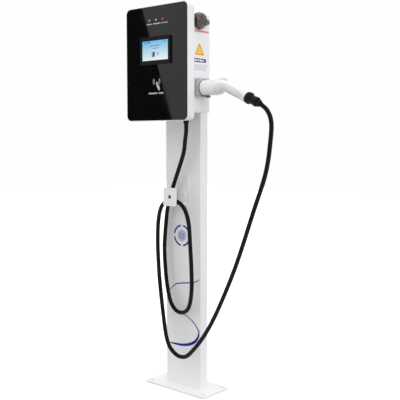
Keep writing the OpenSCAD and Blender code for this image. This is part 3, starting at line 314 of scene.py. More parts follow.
def arc(u, v, r, start, end, steps=24):
    """Points along a round arc, by angles in degrees."""
    angles = [math.radians(start + (end - start) * k / steps) for k in range(steps + 1)]
    return [(u + r * math.cos(a), v + r * math.sin(a)) for a in angles]


def rounded_box(u0, v0, u1, v1, r, steps=6):
    """The outline of a rectangle with round corners."""
    corners = (u1 - r, v1 - r, 0), (u0 + r, v1 - r, 90), (u0 + r, v0 + r, 180), (u1 - r, v0 + r, 270)
    return [point for u, v, start in corners for point in arc(u, v, r, start, start + 90, steps)]


def band(line, widths):
    """The outline of a strip along a line, with one width or one for each point."""
    widths = widths if isinstance(widths, list) else [widths] * len(line)
    left, right = [], []
    for i, (u, v) in enumerate(line):
        (a, b), (c, d) = line[max(i - 1, 0)], line[min(i + 1, len(line) - 1)]
        long = math.hypot(c - a, d - b)
        du, dv = (b - d) / long * widths[i] / 2, (c - a) / long * widths[i] / 2
        left.append((u + du, v + dv))
        right.append((u - du, v - dv))
    return left, right


def film(name, outlines, bands, lay, material, slot=None, thickness=VINYL_T, lift=0.02, body="root"):
    """Flat film cut to outlines and strips and stuck on; lay turns (u, v, height) into a point."""
    points, faces = [], []

    def slab(ring, tops):
        base, n = len(points), len(ring)
        points.extend(lay(u, v, lift) for u, v in ring)
        points.extend(lay(u, v, lift + thickness) for u, v in ring)
        faces.extend((base + k, base + (k + 1) % n, base + n + (k + 1) % n, base + n + k) for k in range(n))
        for top in tops:
            faces.append(tuple(base + n + k for k in top))
            faces.append(tuple(base + k for k in reversed(top)))

    for ring in outlines:
        slab(ring, [range(len(ring))])
    for left, right in bands:
        n = len(left)
        slab(left + right[::-1], [(k, k + 1, 2 * n - 2 - k, 2 * n - 1 - k) for k in range(n - 1)])
    return piece(name, points, faces, material, body, slot, smooth=False)


def on_column(u, v, height):
    return (u, box("post_column")[0].y - height, v)


# Cast vinyl: smooth, flat colour with a soft gloss
vinyl_blue = grained("blue_cast_vinyl", ("#0B1688", "#101C90"), (0.4, 0.5), 1.5, 0.01, Specular_IOR_Level=0.2)
vinyl_lilac = grained("pale_cast_vinyl", ("#B9C0DF", "#C3C9E4"), (0.28, 0.36), 1.5, 0.01)
ROUNDEL = (-5, 575.5)
film("roundel_arcs", [], [band(arc(*ROUNDEL, 37.5, start, start + 72), 6.4) for start in (9, 99, 189, 279)],
     on_column, vinyl_blue)
film("roundel_disc", [arc(*ROUNDEL, 17, 0, 352.5, 47)], [], on_column, vinyl_lilac)
film("roundel_globe", [], [band(arc(*ROUNDEL, r, 0, 360, 36), 1.6) for r in (19.5,)]
     + [band([(ROUNDEL[0] + u, ROUNDEL[1] + v * 2) for u, v in arc(0, 0, 8, 90 * s, 90 * s + 180)], 1.2)
        for s in (-1, 1)]
     + [band([(ROUNDEL[0] - half, ROUNDEL[1] + v), (ROUNDEL[0] + half, ROUNDEL[1] + v)], 1.2)
        for v, half in ((-8, 14), (0, 17), (8, 14))],
     on_column, vinyl_blue, lift=SECOND_LIFT)


def winding(points):
    """A pinstripe through the points, each with its own width."""
    line = curve_through(points, 8)
    return band([(p.x, p.y) for p in line], [p.z for p in line])


film("pinstripes", [], [
    winding([(-67, 364, 2.6), (-36, 389, 3.8), (5, 398, 4.4), (53, 406, 4.2), (81, 420, 2.2)]),
    winding([(-2, 283, 2.4), (44, 262, 4.0), (70, 238, 5.0), (79, 219, 6.5), (67, 192, 10.0), (40, 173, 11.0),
             (2, 162, 9.5), (-37, 159, 7.5), (-67, 159, 4.5)])],
    on_column, vinyl_blue)

# ---- Wall bracket ----
# A top-hat bracket folded from 2 mm galvanised sheet and held to the column by four M8 bolts.
# Hot-dip zinc shows as a dull grey metal with large, faintly different crystals.
galvanised, tree, shader = start_material("galvanised_sheet", Metallic=1.0)
where = add(tree, "TexCoord").outputs["Object"]
spangle = add(tree, "TexVoronoi", {"Vector": where, "Scale": 1000 / 9}).outputs["Color"]
tone = add(tree, "ValToRGB", {"Fac": spangle})
for stop, place, colour in zip(tone.color_ramp.elements, (0.2, 0.8), ("#9DA2A6", "#B7BBBE")):
    stop.position, stop.color = place, hex_colour(colour)
dull = add(tree, "MapRange", {"Value": spangle, "To Min": 0.34, "To Max": 0.52})
tree.links.new(tone.outputs["Color"], shader.inputs["Base Color"])
tree.links.new(dull.outputs["Result"], shader.inputs["Roughness"])
dress(galvanised, "mounting_bracket", edge=0.4)
dress(zinc, "bracket_bolts", edge=0.4)

# ---- Wall box ----
# A white ABS/polycarbonate case, injection moulded: satin, with a fine eroded grain and rounded
# edges. Its cover closes on a black EPDM gasket and is held by small screws in its sides.
moulded_white = grained("white_moulded_plastic", ("#F1F1F2", "#F7F7F7"), (0.3, 0.42), 1.4, 0.03, patch=160)
dress(moulded_white, "rear_housing", edge=1.0)
dress(moulded_white, "front_cover", edge=0.9)
dress(zinc, "housing_screws", edge=0.2)
dress(powder_coat, "cover_screws", edge=0.2)
rubber = grained("epdm_rubber", ("#08080A", "#0E0E0F"), (0.55, 0.7), 1.8, 0.06, patch=25,
                 Specular_IOR_Level=0.15)
dress(rubber, "cover_gasket", edge=0.2)

# ---- Labels on the box's side ----
# Printed polyester labels on the right-hand wall. They carry no words and no pictogram: a red
# hatched strip, a plain yellow triangle, a navy tab with white dashes and rows of grey dashes.
side_x = box("rear_housing")[1].x


def on_side(u, v, height):
    return (side_x + height, u, v)


label_red = grained("red_label_ink", ("#D9234C", "#E0305A"), (0.35, 0.45), 1.2, 0.01)
label_yellow = grained("yellow_label_ink", ("#EFCB2B", "#F5D43A"), (0.35, 0.45), 1.2, 0.01)
label_orange = grained("orange_label_ink", ("#EE6A35", "#F2763F"), (0.35, 0.45), 1.2, 0.01)
label_navy = grained("navy_label_ink", ("#241C86", "#2C2492"), (0.35, 0.45), 1.2, 0.01)
label_grey = grained("grey_label_ink", ("#B9BCD2", "#C3C6DA"), (0.35, 0.45), 1.2, 0.01)
label_white = grained("white_label_ink", ("#F4F4F6", "#FAFAFB"), (0.35, 0.45), 1.2, 0.01)
HATCH_PITCH = 4.6
film("stop_strip", [[(u, 1300), (u + 3.1, 1300), (u + 4.3, 1306.5), (u + 1.2, 1306.5)]
                    for u in (-121 + HATCH_PITCH * k for k in range(19))],
     [], on_side, label_red)


def triangle(cu, base_v, half, height, r):
    """An upright triangle with rounded corners."""
    foot_u, foot_v = half - 1.6 * r, base_v + r
    corners = (cu + foot_u, foot_v, -90), (cu, base_v + height - 2 * r, 30), (cu - foot_u, foot_v, 150)
    return [point for u, v, start in corners for point in arc(u, v, r, start, start + 120, 6)]


film("warning_edge", [triangle(-82, 1222, 24, 42, 2.2)], [], on_side, label_orange)
film("warning_face", [triangle(-82, 1225.3, 18.5, 32.5, 1.6)], [], on_side, label_yellow, lift=SECOND_LIFT)
film("tab", [rounded_box(-119, 1197.5, -48, 1210.5, 6)], [], on_side, label_navy)
tab_dashes = [rounded_box(u, 1201, u + w, 1207, 1.2, 3) for u, w in ((-108, 12), (-93, 7), (-83, 14), (-66, 7))]
film("tab_dashes", tab_dashes, [], on_side, label_white, lift=SECOND_LIFT)
small_dashes = []
for row in range(4):
    u = -116 + 3 * (row % 2)
    while u < -38 - 7 * row:
        w = 5 + (row * 5 + int(-u)) % 7
        small_dashes.append(rounded_box(u, 1186 - 5.2 * row, u + w, 1188.6 - 5.2 * row, 0.8, 2))
        u += w + 2.4
film("small_dashes", small_dashes, [], on_side, label_grey)

# ---- Front glass and display ----
# 4 mm tempered glass, printed black behind, in a white rim. A matt black frame stands proud of it
# round the touch screen, three status lamps shine through it and a card symbol marks the reader.
black_glass, tree, shader = start_material("black_printed_glass", IOR=1.52, Coat_Weight=0.0)
where = add(tree, "TexCoord").outputs["Object"]
smear = add(tree, "TexNoise", {"Vector": where, "Scale": 1000 / 45, "Detail": 5.0}).outputs["Fac"]
polish = add(tree, "MapRange", {"Value": smear, "From Min": 0.35, "From Max": 0.75,
                                "To Min": 0.015, "To Max": 0.07})
deep = add(tree, "ValToRGB", {"Fac": smear})
for stop, place, colour in zip(deep.color_ramp.elements, (0.3, 0.7), ("#0A0A0B", "#0D0D0F")):
    stop.position, stop.color = place, hex_colour(colour)
tree.links.new(polish.outputs["Result"], shader.inputs["Roughness"])
tree.links.new(deep.outputs["Color"], shader.inputs["Base Color"])
dress(black_glass, "front_glass", edge=0.4)
dress(galvanised, "display_chassis", edge=0.2)
glass_y = box("front_glass")[0].y


def on_glass(u, v, height):
    return (u, glass_y - height, v)


# Ceramic ink fired on the glass: light grey, nearly matt
fired_ink = grained("light_ceramic_ink", ("#C9C9CB", "#D4D4D6"), (0.4, 0.5), 0.8, 0.01)
CARD = (2, 1134)
waves = [band(arc(*CARD, r, start, start + 76, 14), 1.5) for r in (11.5, 17) for start in (-38, 142)]
hand = [(-1, 1131), (3, 1133.5), (6.5, 1131), (10, 1122), (15.5, 1117.5), (18, 1110), (16.5, 1104),
        (11, 1103.5), (9.5, 1109), (5, 1112), (2.5, 1118)]
film("card_symbol", [hand], waves, on_glass, fired_ink)


def dashes(start, stop, low, high, widths, gap):
    """A row of short rounded dashes, in place of words."""
    out, u, k = [], start, 0
    while u < stop - 1:
        w = min(widths[k % len(widths)], stop - u)
        out.append(rounded_box(u, low, u + w, high, 0.7, 2))
        u, k = u + w + gap, k + 1
    return out


captions = (dashes(-44, -21.5, 1332.6, 1336.6, (4.2, 3.2, 3.8), 1.0)
            + dashes(-14, 22, 1332.6, 1336.6, (3.6, 4.4, 3.0, 4.8), 1.0)
            + dashes(27, 57, 1332.8, 1336.2, (3.0, 4.2, 2.6), 1.2)
            + dashes(-37, 7, 1091.0, 1096.4, (4.4, 3.2, 4.0, 3.6), 1.0)
            + dashes(13, 35, 1091.0, 1096.4, (3.8, 4.4, 3.4), 1.0))
film("captions", captions, [], on_glass, fired_ink)

# Matt black moulded frame with a chamfered window
frame_black = grained("matt_black_frame", ("#070708", "#0B0B0C"), (0.5, 0.6), 1.0, 0.03, patch=30,
                      Specular_IOR_Level=0.2)
dress(frame_black, "lcd_bezel", edge=0.8)

# The screen is a lit colour panel. Its plain picture is sky blue above and nearly white below.
panel_low, panel_high = box("lcd_panel")
lit_screen, tree, shader = start_material("lit_display", Roughness=0.3, Emission_Strength=1.15)
shader.inputs["Base Color"].default_value = hex_colour("#101418")
where = add(tree, "SeparateXYZ", {"Vector": add(tree, "TexCoord").outputs["Object"]}).outputs["Z"]
rise = add(tree, "MapRange", {"Value": where, "From Min": panel_low.z * MM, "From Max": panel_high.z * MM})
sky_blue = add(tree, "ValToRGB", {"Fac": rise.outputs["Result"]})
ramp = sky_blue.color_ramp.elements
ramp[0].position, ramp[0].color = 0.10, hex_colour("#EDF6FB")
ramp[1].position, ramp[1].color = 0.92, hex_colour("#62BEF0")
ramp.new(0.45).color = hex_colour("#BFE3F5")
tree.links.new(sky_blue.outputs["Color"], shader.inputs["Emission Color"])
dress(lit_screen, "lcd_panel")


def on_screen(u, v, height):
    return (u, panel_low.y - height, v)


def lit(name, colour):
    """A lit patch of the screen's picture, with the faint mesh of its pixels."""
    made, tree, shader = start_material(name, Roughness=0.3, Emission_Strength=0.9)
    where = add(tree, "TexCoord").outputs["Object"]
    mesh = add(tree, "TexVoronoi", {"Vector": where, "Scale": 1000 / 1.2}).outputs["Distance"]
    shade = add(tree, "ValToRGB", {"Fac": mesh})
    shade.color_ramp.elements[0].color = hex_colour(colour)
    shade.color_ramp.elements[1].color = [c * 0.85 for c in hex_colour(colour)[:3]] + [1]
    tree.links.new(shade.outputs["Color"], shader.inputs["Emission Color"])
    shader.inputs["Base Color"].default_value = hex_colour("#101418")
    return made


screen_z = (panel_low.z + panel_high.z) / 2
film("picture_dot", [arc(-51, screen_z + 28.5, 2.8, 0, 345, 23)], [], on_screen,
     lit("lit_green", "#3FBF74"), "screen")
film("picture_marks", [rounded_box(u, v, u + w, v + h, 0.7, 3) for u, v, w, h in (
    (-46, screen_z + 27, 6, 3), (-36, screen_z + 26.5, 12, 4), (45, screen_z + 26.5, 4, 4.5))], [], on_screen,
     lit("lit_dark_blue", "#24689C"), "screen")
picture_rows = dashes(-25, 27, screen_z + 15, screen_z + 18.6, (4, 6, 3, 5), 1.4)
picture_rows += dashes(-13, 17, screen_z + 6, screen_z + 9.4, (5, 3, 4), 1.4)
film("picture_rows", picture_rows, [], on_screen, lit("lit_blue", "#4E86B8"), "screen")
film("picture_block", [rounded_box(-12, screen_z - 22, -2.5, screen_z - 4, 2.4)], [], on_screen,
     lit("lit_dark", "#2C2730"), "screen")
film("picture_bar", [rounded_box(-16.5, screen_z - 24, -13.4, screen_z - 6, 1.2)], [], on_screen,
     lit("lit_maroon", "#A23A50"), "screen")
film("picture_ring", [], [band(arc(12, screen_z - 12, 3.6, 0, 360, 24), 2.6)], on_screen,
     lit("lit_grey", "#8A959C"), "screen")

# The cover lens: a clear 1 mm pane with softly rounded edges, in front of the picture
lens_low, lens_high = box("lcd_lens")
clear_pane, tree, shader = start_material("clear_cover_lens", IOR=1.49, Transmission_Weight=1.0)
where = add(tree, "TexCoord").outputs["Object"]
haze = add(tree, "TexNoise", {"Vector": where, "Scale": 1000 / 30}).outputs["Fac"]
veil = add(tree, "MapRange", {"Value": haze, "To Min": 0.02, "To Max": 0.06})
tree.links.new(veil.outputs["Result"], shader.inputs["Roughness"])
pane = rounded_box(lens_low.x, lens_low.z, lens_high.x, lens_high.z, 2)
PANE_AIR = 0.35                          # how far the pane stands off the panel
lens = film("cover_lens", [pane], [], lambda u, v, height: (u, lens_high.y - PANE_AIR - height, v), clear_pane,
            "screen_glass", thickness=lens_high.y - lens_low.y - PANE_AIR, lift=0)
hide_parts("lcd_lens")


def lamp_material(name, colour, strength):
    """Clear tinted polycarbonate over a small lit diode: a glowing core in a glossy dome."""
    made, tree, shader = start_material(name, IOR=1.58, Emission_Strength=strength)
    where = add(tree, "TexCoord").outputs["Object"]
    cloud = add(tree, "TexNoise", {"Vector": where, "Scale": 1000 / 2.0}).outputs["Fac"]
    glow = add(tree, "ValToRGB", {"Fac": cloud})
    glow.color_ramp.elements[0].color = [c * 0.7 for c in hex_colour(colour)[:3]] + [1]
    glow.color_ramp.elements[1].color = hex_colour(colour)
    gloss = add(tree, "MapRange", {"Value": cloud, "To Min": 0.08, "To Max": 0.2})
    tree.links.new(glow.outputs["Color"], shader.inputs["Base Color"])
    tree.links.new(glow.outputs["Color"], shader.inputs["Emission Color"])
    tree.links.new(gloss.outputs["Result"], shader.inputs["Roughness"])
    return made


dress(lamp_material("green_lamp", "#2FD07A", 0.7), "led_green")
dress(lamp_material("yellow_lamp", "#F0B541", 0.7), "led_yellow")
dress(lamp_material("red_lamp", "#E0405A", 0.7), "led_red")
# Glass-fibre circuit boards under green solder mask: glossy, with the cloth just showing
board_green = grained("green_solder_mask", ("#0B4A2C", "#0F5734"), (0.22, 0.35), 0.9, 0.02, patch=12)
dress(board_green, "led_board", "reader_board", "control_board", edge=0.15)

# ---- Equipment inside the box ----
# Rail-mounted switchgear on a 35 mm top-hat rail: grey moulded cases, a navy toggle, a polyamide
# terminal block, a brass earth bar and a rubber bush for the supply lead.
device_grey = grained("grey_device_case", ("#AEB0B2", "#BBBDBF"), (0.4, 0.55), 1.2, 0.03, patch=30)
brass = grained("turned_brass", ("#B08D4A", "#C29E58"), (0.2, 0.35), 0.7, 0.01, patch=10, Metallic=1.0)
toggle_navy = grained("navy_toggle_plastic", ("#141E4C", "#1A2558"), (0.3, 0.4), 1.0, 0.02, patch=10)
terminal_grey = grained("grey_polyamide", ("#6D7174", "#787C80"), (0.45, 0.6), 1.0, 0.04, patch=20)
dress(galvanised, "din_rail", edge=0.2)
dress(device_grey, "contactor", "breaker_body", "energy_meter", "estop_contacts", edge=0.4)
dress(toggle_navy, "breaker_toggle", edge=0.4)
dress(terminal_grey, "terminal_block", edge=0.3)
dress(brass, "earth_bar", "board_standoffs", edge=0.2)
dress(rubber, "supply_grommet", edge=0.5)

# ---- Cable gland ----
# An M25 polyamide gland: a hexagon body through the box's floor, a domed nut that squeezes a
# rubber seal round the cable, and a soft tapered sleeve below it.
dress(black_polyamide, "cable_gland", edge=0.5)
dress(rubber, "gland_seal")


def lathe(profile, start, way, sides=64):
    """Points and faces of a turned piece: (distance along, radius) pairs spun about an axis."""
    way = Vector(way).normalized()
    side = way.orthogonal().normalized()
    up = way.cross(side)
    points, faces, n = [], [], len(profile)
    for k in range(sides):
        a = 2 * math.pi * k / sides
        points += [Vector(start) + way * s + (side * math.cos(a) + up * math.sin(a)) * r for s, r in profile]
    for k in range(sides):
        a, b = k * n, (k + 1) % sides * n
        faces += [(a + i, a + (i + 1) % n, b + (i + 1) % n, b + i) for i in range(n)]
    return points, faces


DOWN = Vector((0, 0, -1))
nut_low, nut_high = box("gland_nut")
nut_top = Vector(((nut_low.x + nut_high.x) / 2, (nut_low.y + nut_high.y) / 2, nut_high.z))
NUT_BORE, NUT_R = CABLE_D / 2 + 0.6, 13.4
NUT_PROFILE = [(0, NUT_BORE), (0, NUT_R), (1, NUT_R + 0.6), (7, NUT_R + 0.6), (9.5, NUT_R - 0.4),
               (11.8, NUT_R - 2.6), (13.6, NUT_BORE + 2.6), (15.2, NUT_BORE + 1.6), (16, NUT_BORE + 1.1),
               (16, NUT_BORE)]
piece("gland_dome_nut", *lathe(NUT_PROFILE, nut_top, DOWN), black_polyamide, "root", "black_frame",
      ["gland_nut"])
grips = []
for k in range(12):
    a = math.radians(30 * k)
    rib = nut_top + Vector((math.cos(a), math.sin(a), 0)) * (NUT_R + 0.5)
    grips.append(tube([rib + DOWN * s for s in (0.8, 1.3, 4.0, 6.4, 7.0)], [0.3, 0.9, 0.9, 0.9, 0.3], 10))


def joined(parts):
    """Several point-and-face pairs as one."""
    points, faces = [], []
    for part_points, part_faces in parts:
        base = len(points)
        points += part_points
        faces += [tuple(base + i for i in face) for face in part_faces]
    return points, faces


piece("gland_nut_grips", *joined(grips), black_polyamide, "root", "black_frame")
# a soft tapered sleeve below the nut keeps the cable from kinking
SLEEVE_END = nut_high.z - 987
SLEEVE_PROFILE = [(14.5, NUT_BORE), (14.5, 9.4), (16.2, 10.6), (19, 10.6), (24, 10.0), (SLEEVE_END - 3, 9.2),
                  (SLEEVE_END, 8.7), (SLEEVE_END, NUT_BORE)]
piece("gland_sleeve", *lathe(SLEEVE_PROFILE, nut_top, DOWN), rubber, "root", "seal_rubber")

# ---- Emergency stop ----
# A 22 mm stop button: a red moulded mushroom on a black plunger in a metal barrel, under a smoky
# clear polycarbonate guard that hinges forward and takes a padlock through its ear.
stop_red = grained("red_moulded_button", ("#B80F1C", "#C9141F"), (0.22, 0.32), 1.2, 0.02, patch=12)
dress(zinc, "estop_barrel", "guard_pin", edge=0.3)
dress(black_polyamide, "estop_plunger", edge=0.4)
dress(stop_red, "estop_head", edge=0.6)
smoky, tree, shader = start_material("smoky_polycarbonate", IOR=1.5, Transmission_Weight=0.92)
where = add(tree, "TexCoord").outputs["Object"]
flow = add(tree, "TexNoise", {"Vector": where, "Scale": 1000 / 18, "Detail": 3.0}).outputs["Fac"]
smoke = add(tree, "ValToRGB", {"Fac": flow})
for stop, place, colour in zip(smoke.color_ramp.elements, (0.3, 0.7), ("#A3A19B", "#AFADA7")):
    stop.position, stop.color = place, hex_colour(colour)
mist = add(tree, "MapRange", {"Value": flow, "To Min": 0.02, "To Max": 0.07})
tree.links.new(smoke.outputs["Color"], shader.inputs["Base Color"])
tree.links.new(mist.outputs["Result"], shader.inputs["Roughness"])
dress(smoky, "guard_base", "guard_lid", edge=0.5)

# ---- Gun holder ----
# A grey moulded socket screwed to the box's side, with a sprung acetal tongue under the gun.
# its colour is partly the moulding's own light grey and partly painted shade: darkened for the shadow the gun
# casts on it
holder_grey_and_painted_shade = grained("grey_moulding_and_painted_shade", ("#B4B5B5", "#BEBFBF"), (0.36, 0.48), 1.3, 0.03, patch=60)
catch_grey = grained("dark_grey_acetal", ("#5A5B5D", "#646567"), (0.35, 0.48), 1.0, 0.03, patch=20)
dress(holder_grey_and_painted_shade, "gun_holder", edge=1.0)
dress(zinc, "holder_screws", edge=0.25)
dress(catch_grey, "holder_catch", edge=0.6)

# ---- Charging gun ----
# Two white moulded halves screwed together round a black nose with silver-plated sockets, with a
# soft grip inlay in each flank, a sprung latch lever with a thumb button on top, and at the rear
# a ribbed black collar and a tapered boot that hands over to the cable.
GUN_Y, GUN_Z = -80.0, 1109.0
GRIP_START = Vector((252.2, GUN_Y, 1112.5))
GRIP_DEGREES = 24.0
GRIP_TILT = math.radians(GRIP_DEGREES)
GRIP_WAY = Vector((math.cos(GRIP_TILT), 0, -math.sin(GRIP_TILT)))
GRIP_END = 102.0                         # where the handle stops and the collar starts
PART_GAP = 0.18                          # half of the fine gap between the two halves
SIDEWAYS = Vector((0, 1, 0))
# Stations of the gun's form: centre, tilt in degrees, height above and below it, half width
STATIONS = [(Vector((x, GUN_Y, z)), tilt, above, below, half) for x, z, tilt, above, below, half in (
    (157.2, 1109, 0, 25.1, 25.1, 25.1), (158.6, 1109, 0, 26.5, 26.5, 26.5), (205, 1109, 0, 26.5, 26.6, 26.5),
    (216, 1109, 0, 26.5, 27.4, 26.5), (226, 1109.5, 4, 26.0, 27.4, 26.0), (237, 1110.5, 9, 23.8, 26.2, 24.8),
    (249.5, 1111, 16, 20.6, 19.6, 22.0), (262, 1108.1, 22, 19.6, 18.6, 20.2))]
STATIONS += [(GRIP_START + GRIP_WAY * s, GRIP_DEGREES, h, h, w) for s, h, w in (
    (30, 18.9, 18.8), (50, 18.8, 18.2), (72, 18.7, 17.9), (90, 19.3, 18.6), (100.6, 19.4, 19.0),
    (GRIP_END, 18.2, 17.8))]


def gun_ring(station, grow=0.0, steps=40):
    """The points round one station, from the top, by angle, on both sides."""
    centre, tilt, above, below, half = station
    tilt = math.radians(tilt)
    rise = Vector((math.sin(tilt), 0, math.cos(tilt)))
    ring = []
    for k in range(steps):
        a = 2 * math.pi * k / steps
        tall = above if math.cos(a) > 0 else below
        ring.append(centre + rise * math.cos(a) * (tall + grow) + SIDEWAYS * math.sin(a) * (half + grow))
    return ring


def smooth_stations():
    """The stations with finer ones between them, on smooth curves."""
    out = []
    for i in range(len(STATIONS) - 1):
        four = STATIONS[max(i - 1, 0)], STATIONS[i], STATIONS[i + 1], STATIONS[min(i + 2, len(STATIONS) - 1)]
        steps = max(1, round((four[2][0] - four[1][0]).length / 3))
        for k in range(steps):
            t = k / steps
            out.append(tuple((x * 2 + (y - w) * t + (w * 2 - x * 5 + y * 4 - z) * t * t
                              + (x * 3 - w - y * 3 + z) * t ** 3) / 2 for w, x, y, z in zip(*four)))
    return out + [STATIONS[-1]]


def solid(rings):
    """Points and faces of a closed loft through rings of points."""
    n = len(rings[0])
    points = [p for ring in rings for p in ring]
    faces = [(i * n + k, i * n + (k + 1) % n, (i + 1) * n + (k + 1) % n, (i + 1) * n + k)
             for i in range(len(rings) - 1) for k in range(n)]
    return points, faces + [tuple(reversed(range(n))), tuple(range(len(points) - n, len(points)))]


def block(x0, x1, y0, y1, z0, z1):
    """Points and faces of a plain block, used only to cut other pieces."""
    ring = [(y0, z0), (y1, z0), (y1, z1), (y0, z1)]
    return solid([[Vector((x, y, z)) for y, z in ring] for x in (x0, x1)])


def prism_y(outline, y0, y1):
    """Points and faces of an outline in X and Z, from y0 to y1."""
    return solid([[Vector((x, y, z)) for x, z in outline] for y in (y0, y1)])


def carve(points, faces, cutters, keep=None):
    """A mesh with the cutters taken away, or only what lies inside the one to keep."""
    def made(name, data):
        mesh = bpy.data.meshes.new(name)
        mesh.from_pydata([Vector(p) * MM for p in data[0]], [], data[1])
        work = bmesh.new()
        work.from_mesh(mesh)
        bmesh.ops.recalc_face_normals(work, faces=work.faces)
        work.to_mesh(mesh)
        work.free()
        thing = bpy.data.objects.new(name, mesh)
        bpy.context.scene.collection.objects.link(thing)
        return thing

    body = made("carved", (points, faces))
    tools = [made("cutter", cutter) for cutter in cutters] + ([made("cutter", keep)] if keep else [])
    for i, tool in enumerate(tools):
        cut = body.modifiers.new("cut", "BOOLEAN")
        cut.operation = "INTERSECT" if keep and i == len(tools) - 1 else "DIFFERENCE"
        cut.solver = "EXACT"
        cut.object = tool
    bpy.context.view_layer.update()
    mesh = bpy.data.meshes.new_from_object(body.evaluated_get(bpy.context.evaluated_depsgraph_get()))
    for thing in [body] + tools:
        old = thing.data
        bpy.data.objects.remove(thing)
        bpy.data.meshes.remove(old)
    return mesh


gun_white = grained("white_gun_shell", ("#F0F0F1", "#F6F6F6"), (0.3, 0.42), 1.5, 0.035, patch=60)
gun_black = grained("black_glass_filled_polyamide", ("#09090A", "#0F0F10"), (0.45, 0.58), 0.9, 0.04, patch=25,
                    Specular_IOR_Level=0.15)
inlay_grey = grained("grey_soft_grip", ("#E3E3E4", "#E9E9EA"), (0.5, 0.62), 0.7, 0.05, patch=20)
silver_plate = grained("silver_plated_copper", ("#B9B9B4", "#CFCFCA"), (0.15, 0.3), 0.5, 0.006, patch=6,
                       Metallic=1.0)


def rod(radius, length, start, way, sides):
    """Points and faces of a plain rod, used only to cut other pieces."""
    return lathe([(0, 0.01), (0, radius), (length, radius), (length, 0.01)], start, way, sides)


# what is cut from both halves: the lever's slot, the socket for the nose and the leads' duct
GUN_FACE = 150
top_slot = block(GUN_FACE, 263.5, GUN_Y - 5.1, GUN_Y + 5.1, 1128.5, 1170)
socket = rod(25.05, 60.5, (GUN_FACE, GUN_Y, GUN_Z), (1, 0, 0), 96)
duct = rod(10, 130, GRIP_START - GRIP_WAY * 8, GRIP_WAY, 48)
# the inlay's outline in X and Z, and the places of the screws in the far flank
PAD = [(p.x, p.y) for p in curve_through([(x, z, 0) for x, z in (
    (226, 1089), (220.5, 1094.5), (221, 1103), (227, 1111), (236, 1116.5), (250, 1118.3), (265, 1115.5),
    (279, 1110), (296, 1102.8), (313, 1094.5), (325, 1086.5), (329, 1079), (326, 1072.5), (317, 1070),
    (300, 1076.5), (282, 1084.3), (264, 1091), (250, 1094.5), (238, 1090.5), (226, 1089))], 3)][:-1]
PAD_DEPTH, PAD_GAP = 1.4, 1.2            # how deep the inlay is let in, and the groove round it
SCREWS = [(179.2, 1092), (211.2, 1094), (272.2, 1100.5), (318.2, 1080.5)]
SCREW_HOLE_R = 3.2


def grown(outline, by):
    """An outline moved outwards all round."""
    out = []
    for i, (x, z) in enumerate(outline):
        (a, b), (c, d) = outline[i - 1], outline[(i + 1) % len(outline)]
        long = math.hypot(c - a, d - b)
        out.append((x - (d - b) / long * by, z + (c - a) / long * by))
    return out


def as_data(mesh):
    """A mesh's points in millimetres and its faces; the mesh itself goes."""
    data = [v.co / MM for v in mesh.vertices], [tuple(f.vertices) for f in mesh.polygons]
    bpy.data.meshes.remove(mesh)
    return data


whole = solid([gun_ring(s) for s in smooth_stations()])
inside = solid([gun_ring(s, -PAD_DEPTH) for s in smooth_stations()])
outside = solid([gun_ring(s, 0.3) for s in smooth_stations()])
for side, name in ((-1, "left"), (1, "right")):
    near, far = sorted((GUN_Y - side * PART_GAP, GUN_Y - side * 80))
    other_half = block(100, 420, near, far, 980, 1180)
    flank = (GUN_Y + side * 8, GUN_Y + side * 40)
    holes = [rod(SCREW_HOLE_R, 40, (x, GUN_Y + 14, z), SIDEWAYS, 24) for x, z in SCREWS] if side > 0 else []
    recess = as_data(carve(*prism_y(grown(PAD, PAD_GAP), *flank), [inside]))
    half = carve(*whole, [other_half, top_slot, socket, duct, recess] + holes)
    settle("gun_half_" + name, half, gun_white, "gun", ["gun_shell_" + name], turn_edge=0.3)
    inlay = carve(*outside, [inside] + holes, keep=prism_y(PAD, *flank))
    settle("grip_inlay_" + name, inlay, inlay_grey, "gun", turn_edge=0.3)
dress(gun_black, "gun_nose", edge=0.5)
dress(silver_plate, "gun_contacts", edge=0.15)
dress(rubber, "gun_seal", edge=0.2)
dress(zinc, "gun_screws", "latch_pin", edge=0.15)


def swept(name, sections, material, body, **more):
    """A strip along X whose cross-section is a rounded box: (x, low, high, half width, corner)."""
    loops = []
    for x, low, high, half_w, corner in sections:
        outline = rounded_box(-half_w, low, half_w, high, corner, 4)
        loops.append([Vector((x, GUN_Y + u, v)) for u, v in outline])
    return piece(name, *solid(loops), material, body, **more)


# The lever: a hook over the nose, a slim beam over the barrel and a rounded button behind
LEVER_W, LEVER_TOP = 4.0, 1135.1         # half its width, and its upper face
beam = [(141.4, 1124.0, 1134.6, LEVER_W, 0.5)]
beam += [(x, low, LEVER_TOP, LEVER_W, 0.9) for x, low in (
    (142.2, 1123.3), (145.2, 1123.3), (146.4, 1132.3), (200.0, 1132.2), (214, 1132.0), (222, 1131.4),
    (258, 1131.2))]
beam += [(261.2, 1131.6, 1134.7, LEVER_W - 0.6, 0.9)]
swept("latch_beam", beam, gun_white, "gun_latch", slot="gun_white", replaces=["gun_latch"])
button = [(219.6, 1134.7, 1135.6, 2.8, 0.3), (221.5, 1134.3, 1137.2, 3.8, 1.0), (227, 1134.2, 1138.4, 4.0, 1.6),
          (238, 1134.2, 1138.9, 4.0, 1.7), (250, 1134.2, 1138.4, 4.0, 1.6), (258, 1134.3, 1137.0, 3.8, 1.0),
          (260.2, 1134.7, 1135.6, 2.8, 0.3)]
swept("latch_button", button, gun_white, "gun_latch", slot="gun_white")
RIB_ARCH = [(-3.1, 1138.0), (-1.6, 1138.75), (0, 1138.95), (1.6, 1138.75), (3.1, 1138.0)]
ribs = [tube([Vector((x, GUN_Y + y, z)) for y, z in RIB_ARCH], [0.3, 0.7, 0.75, 0.7, 0.3], 8)
        for x in (231, 234.4, 237.8, 241.2, 244.6)]
piece("latch_button_ribs", *joined(ribs), gun_white, "gun_latch", "gun_white")
PIVOT = (205.2, GUN_Y + 4, 1131.5)
boss = [(0, 1.95), (0, 2.7), (0.4, 3.0), (7.6, 3.0), (8.0, 2.7), (8.0, 1.95)]
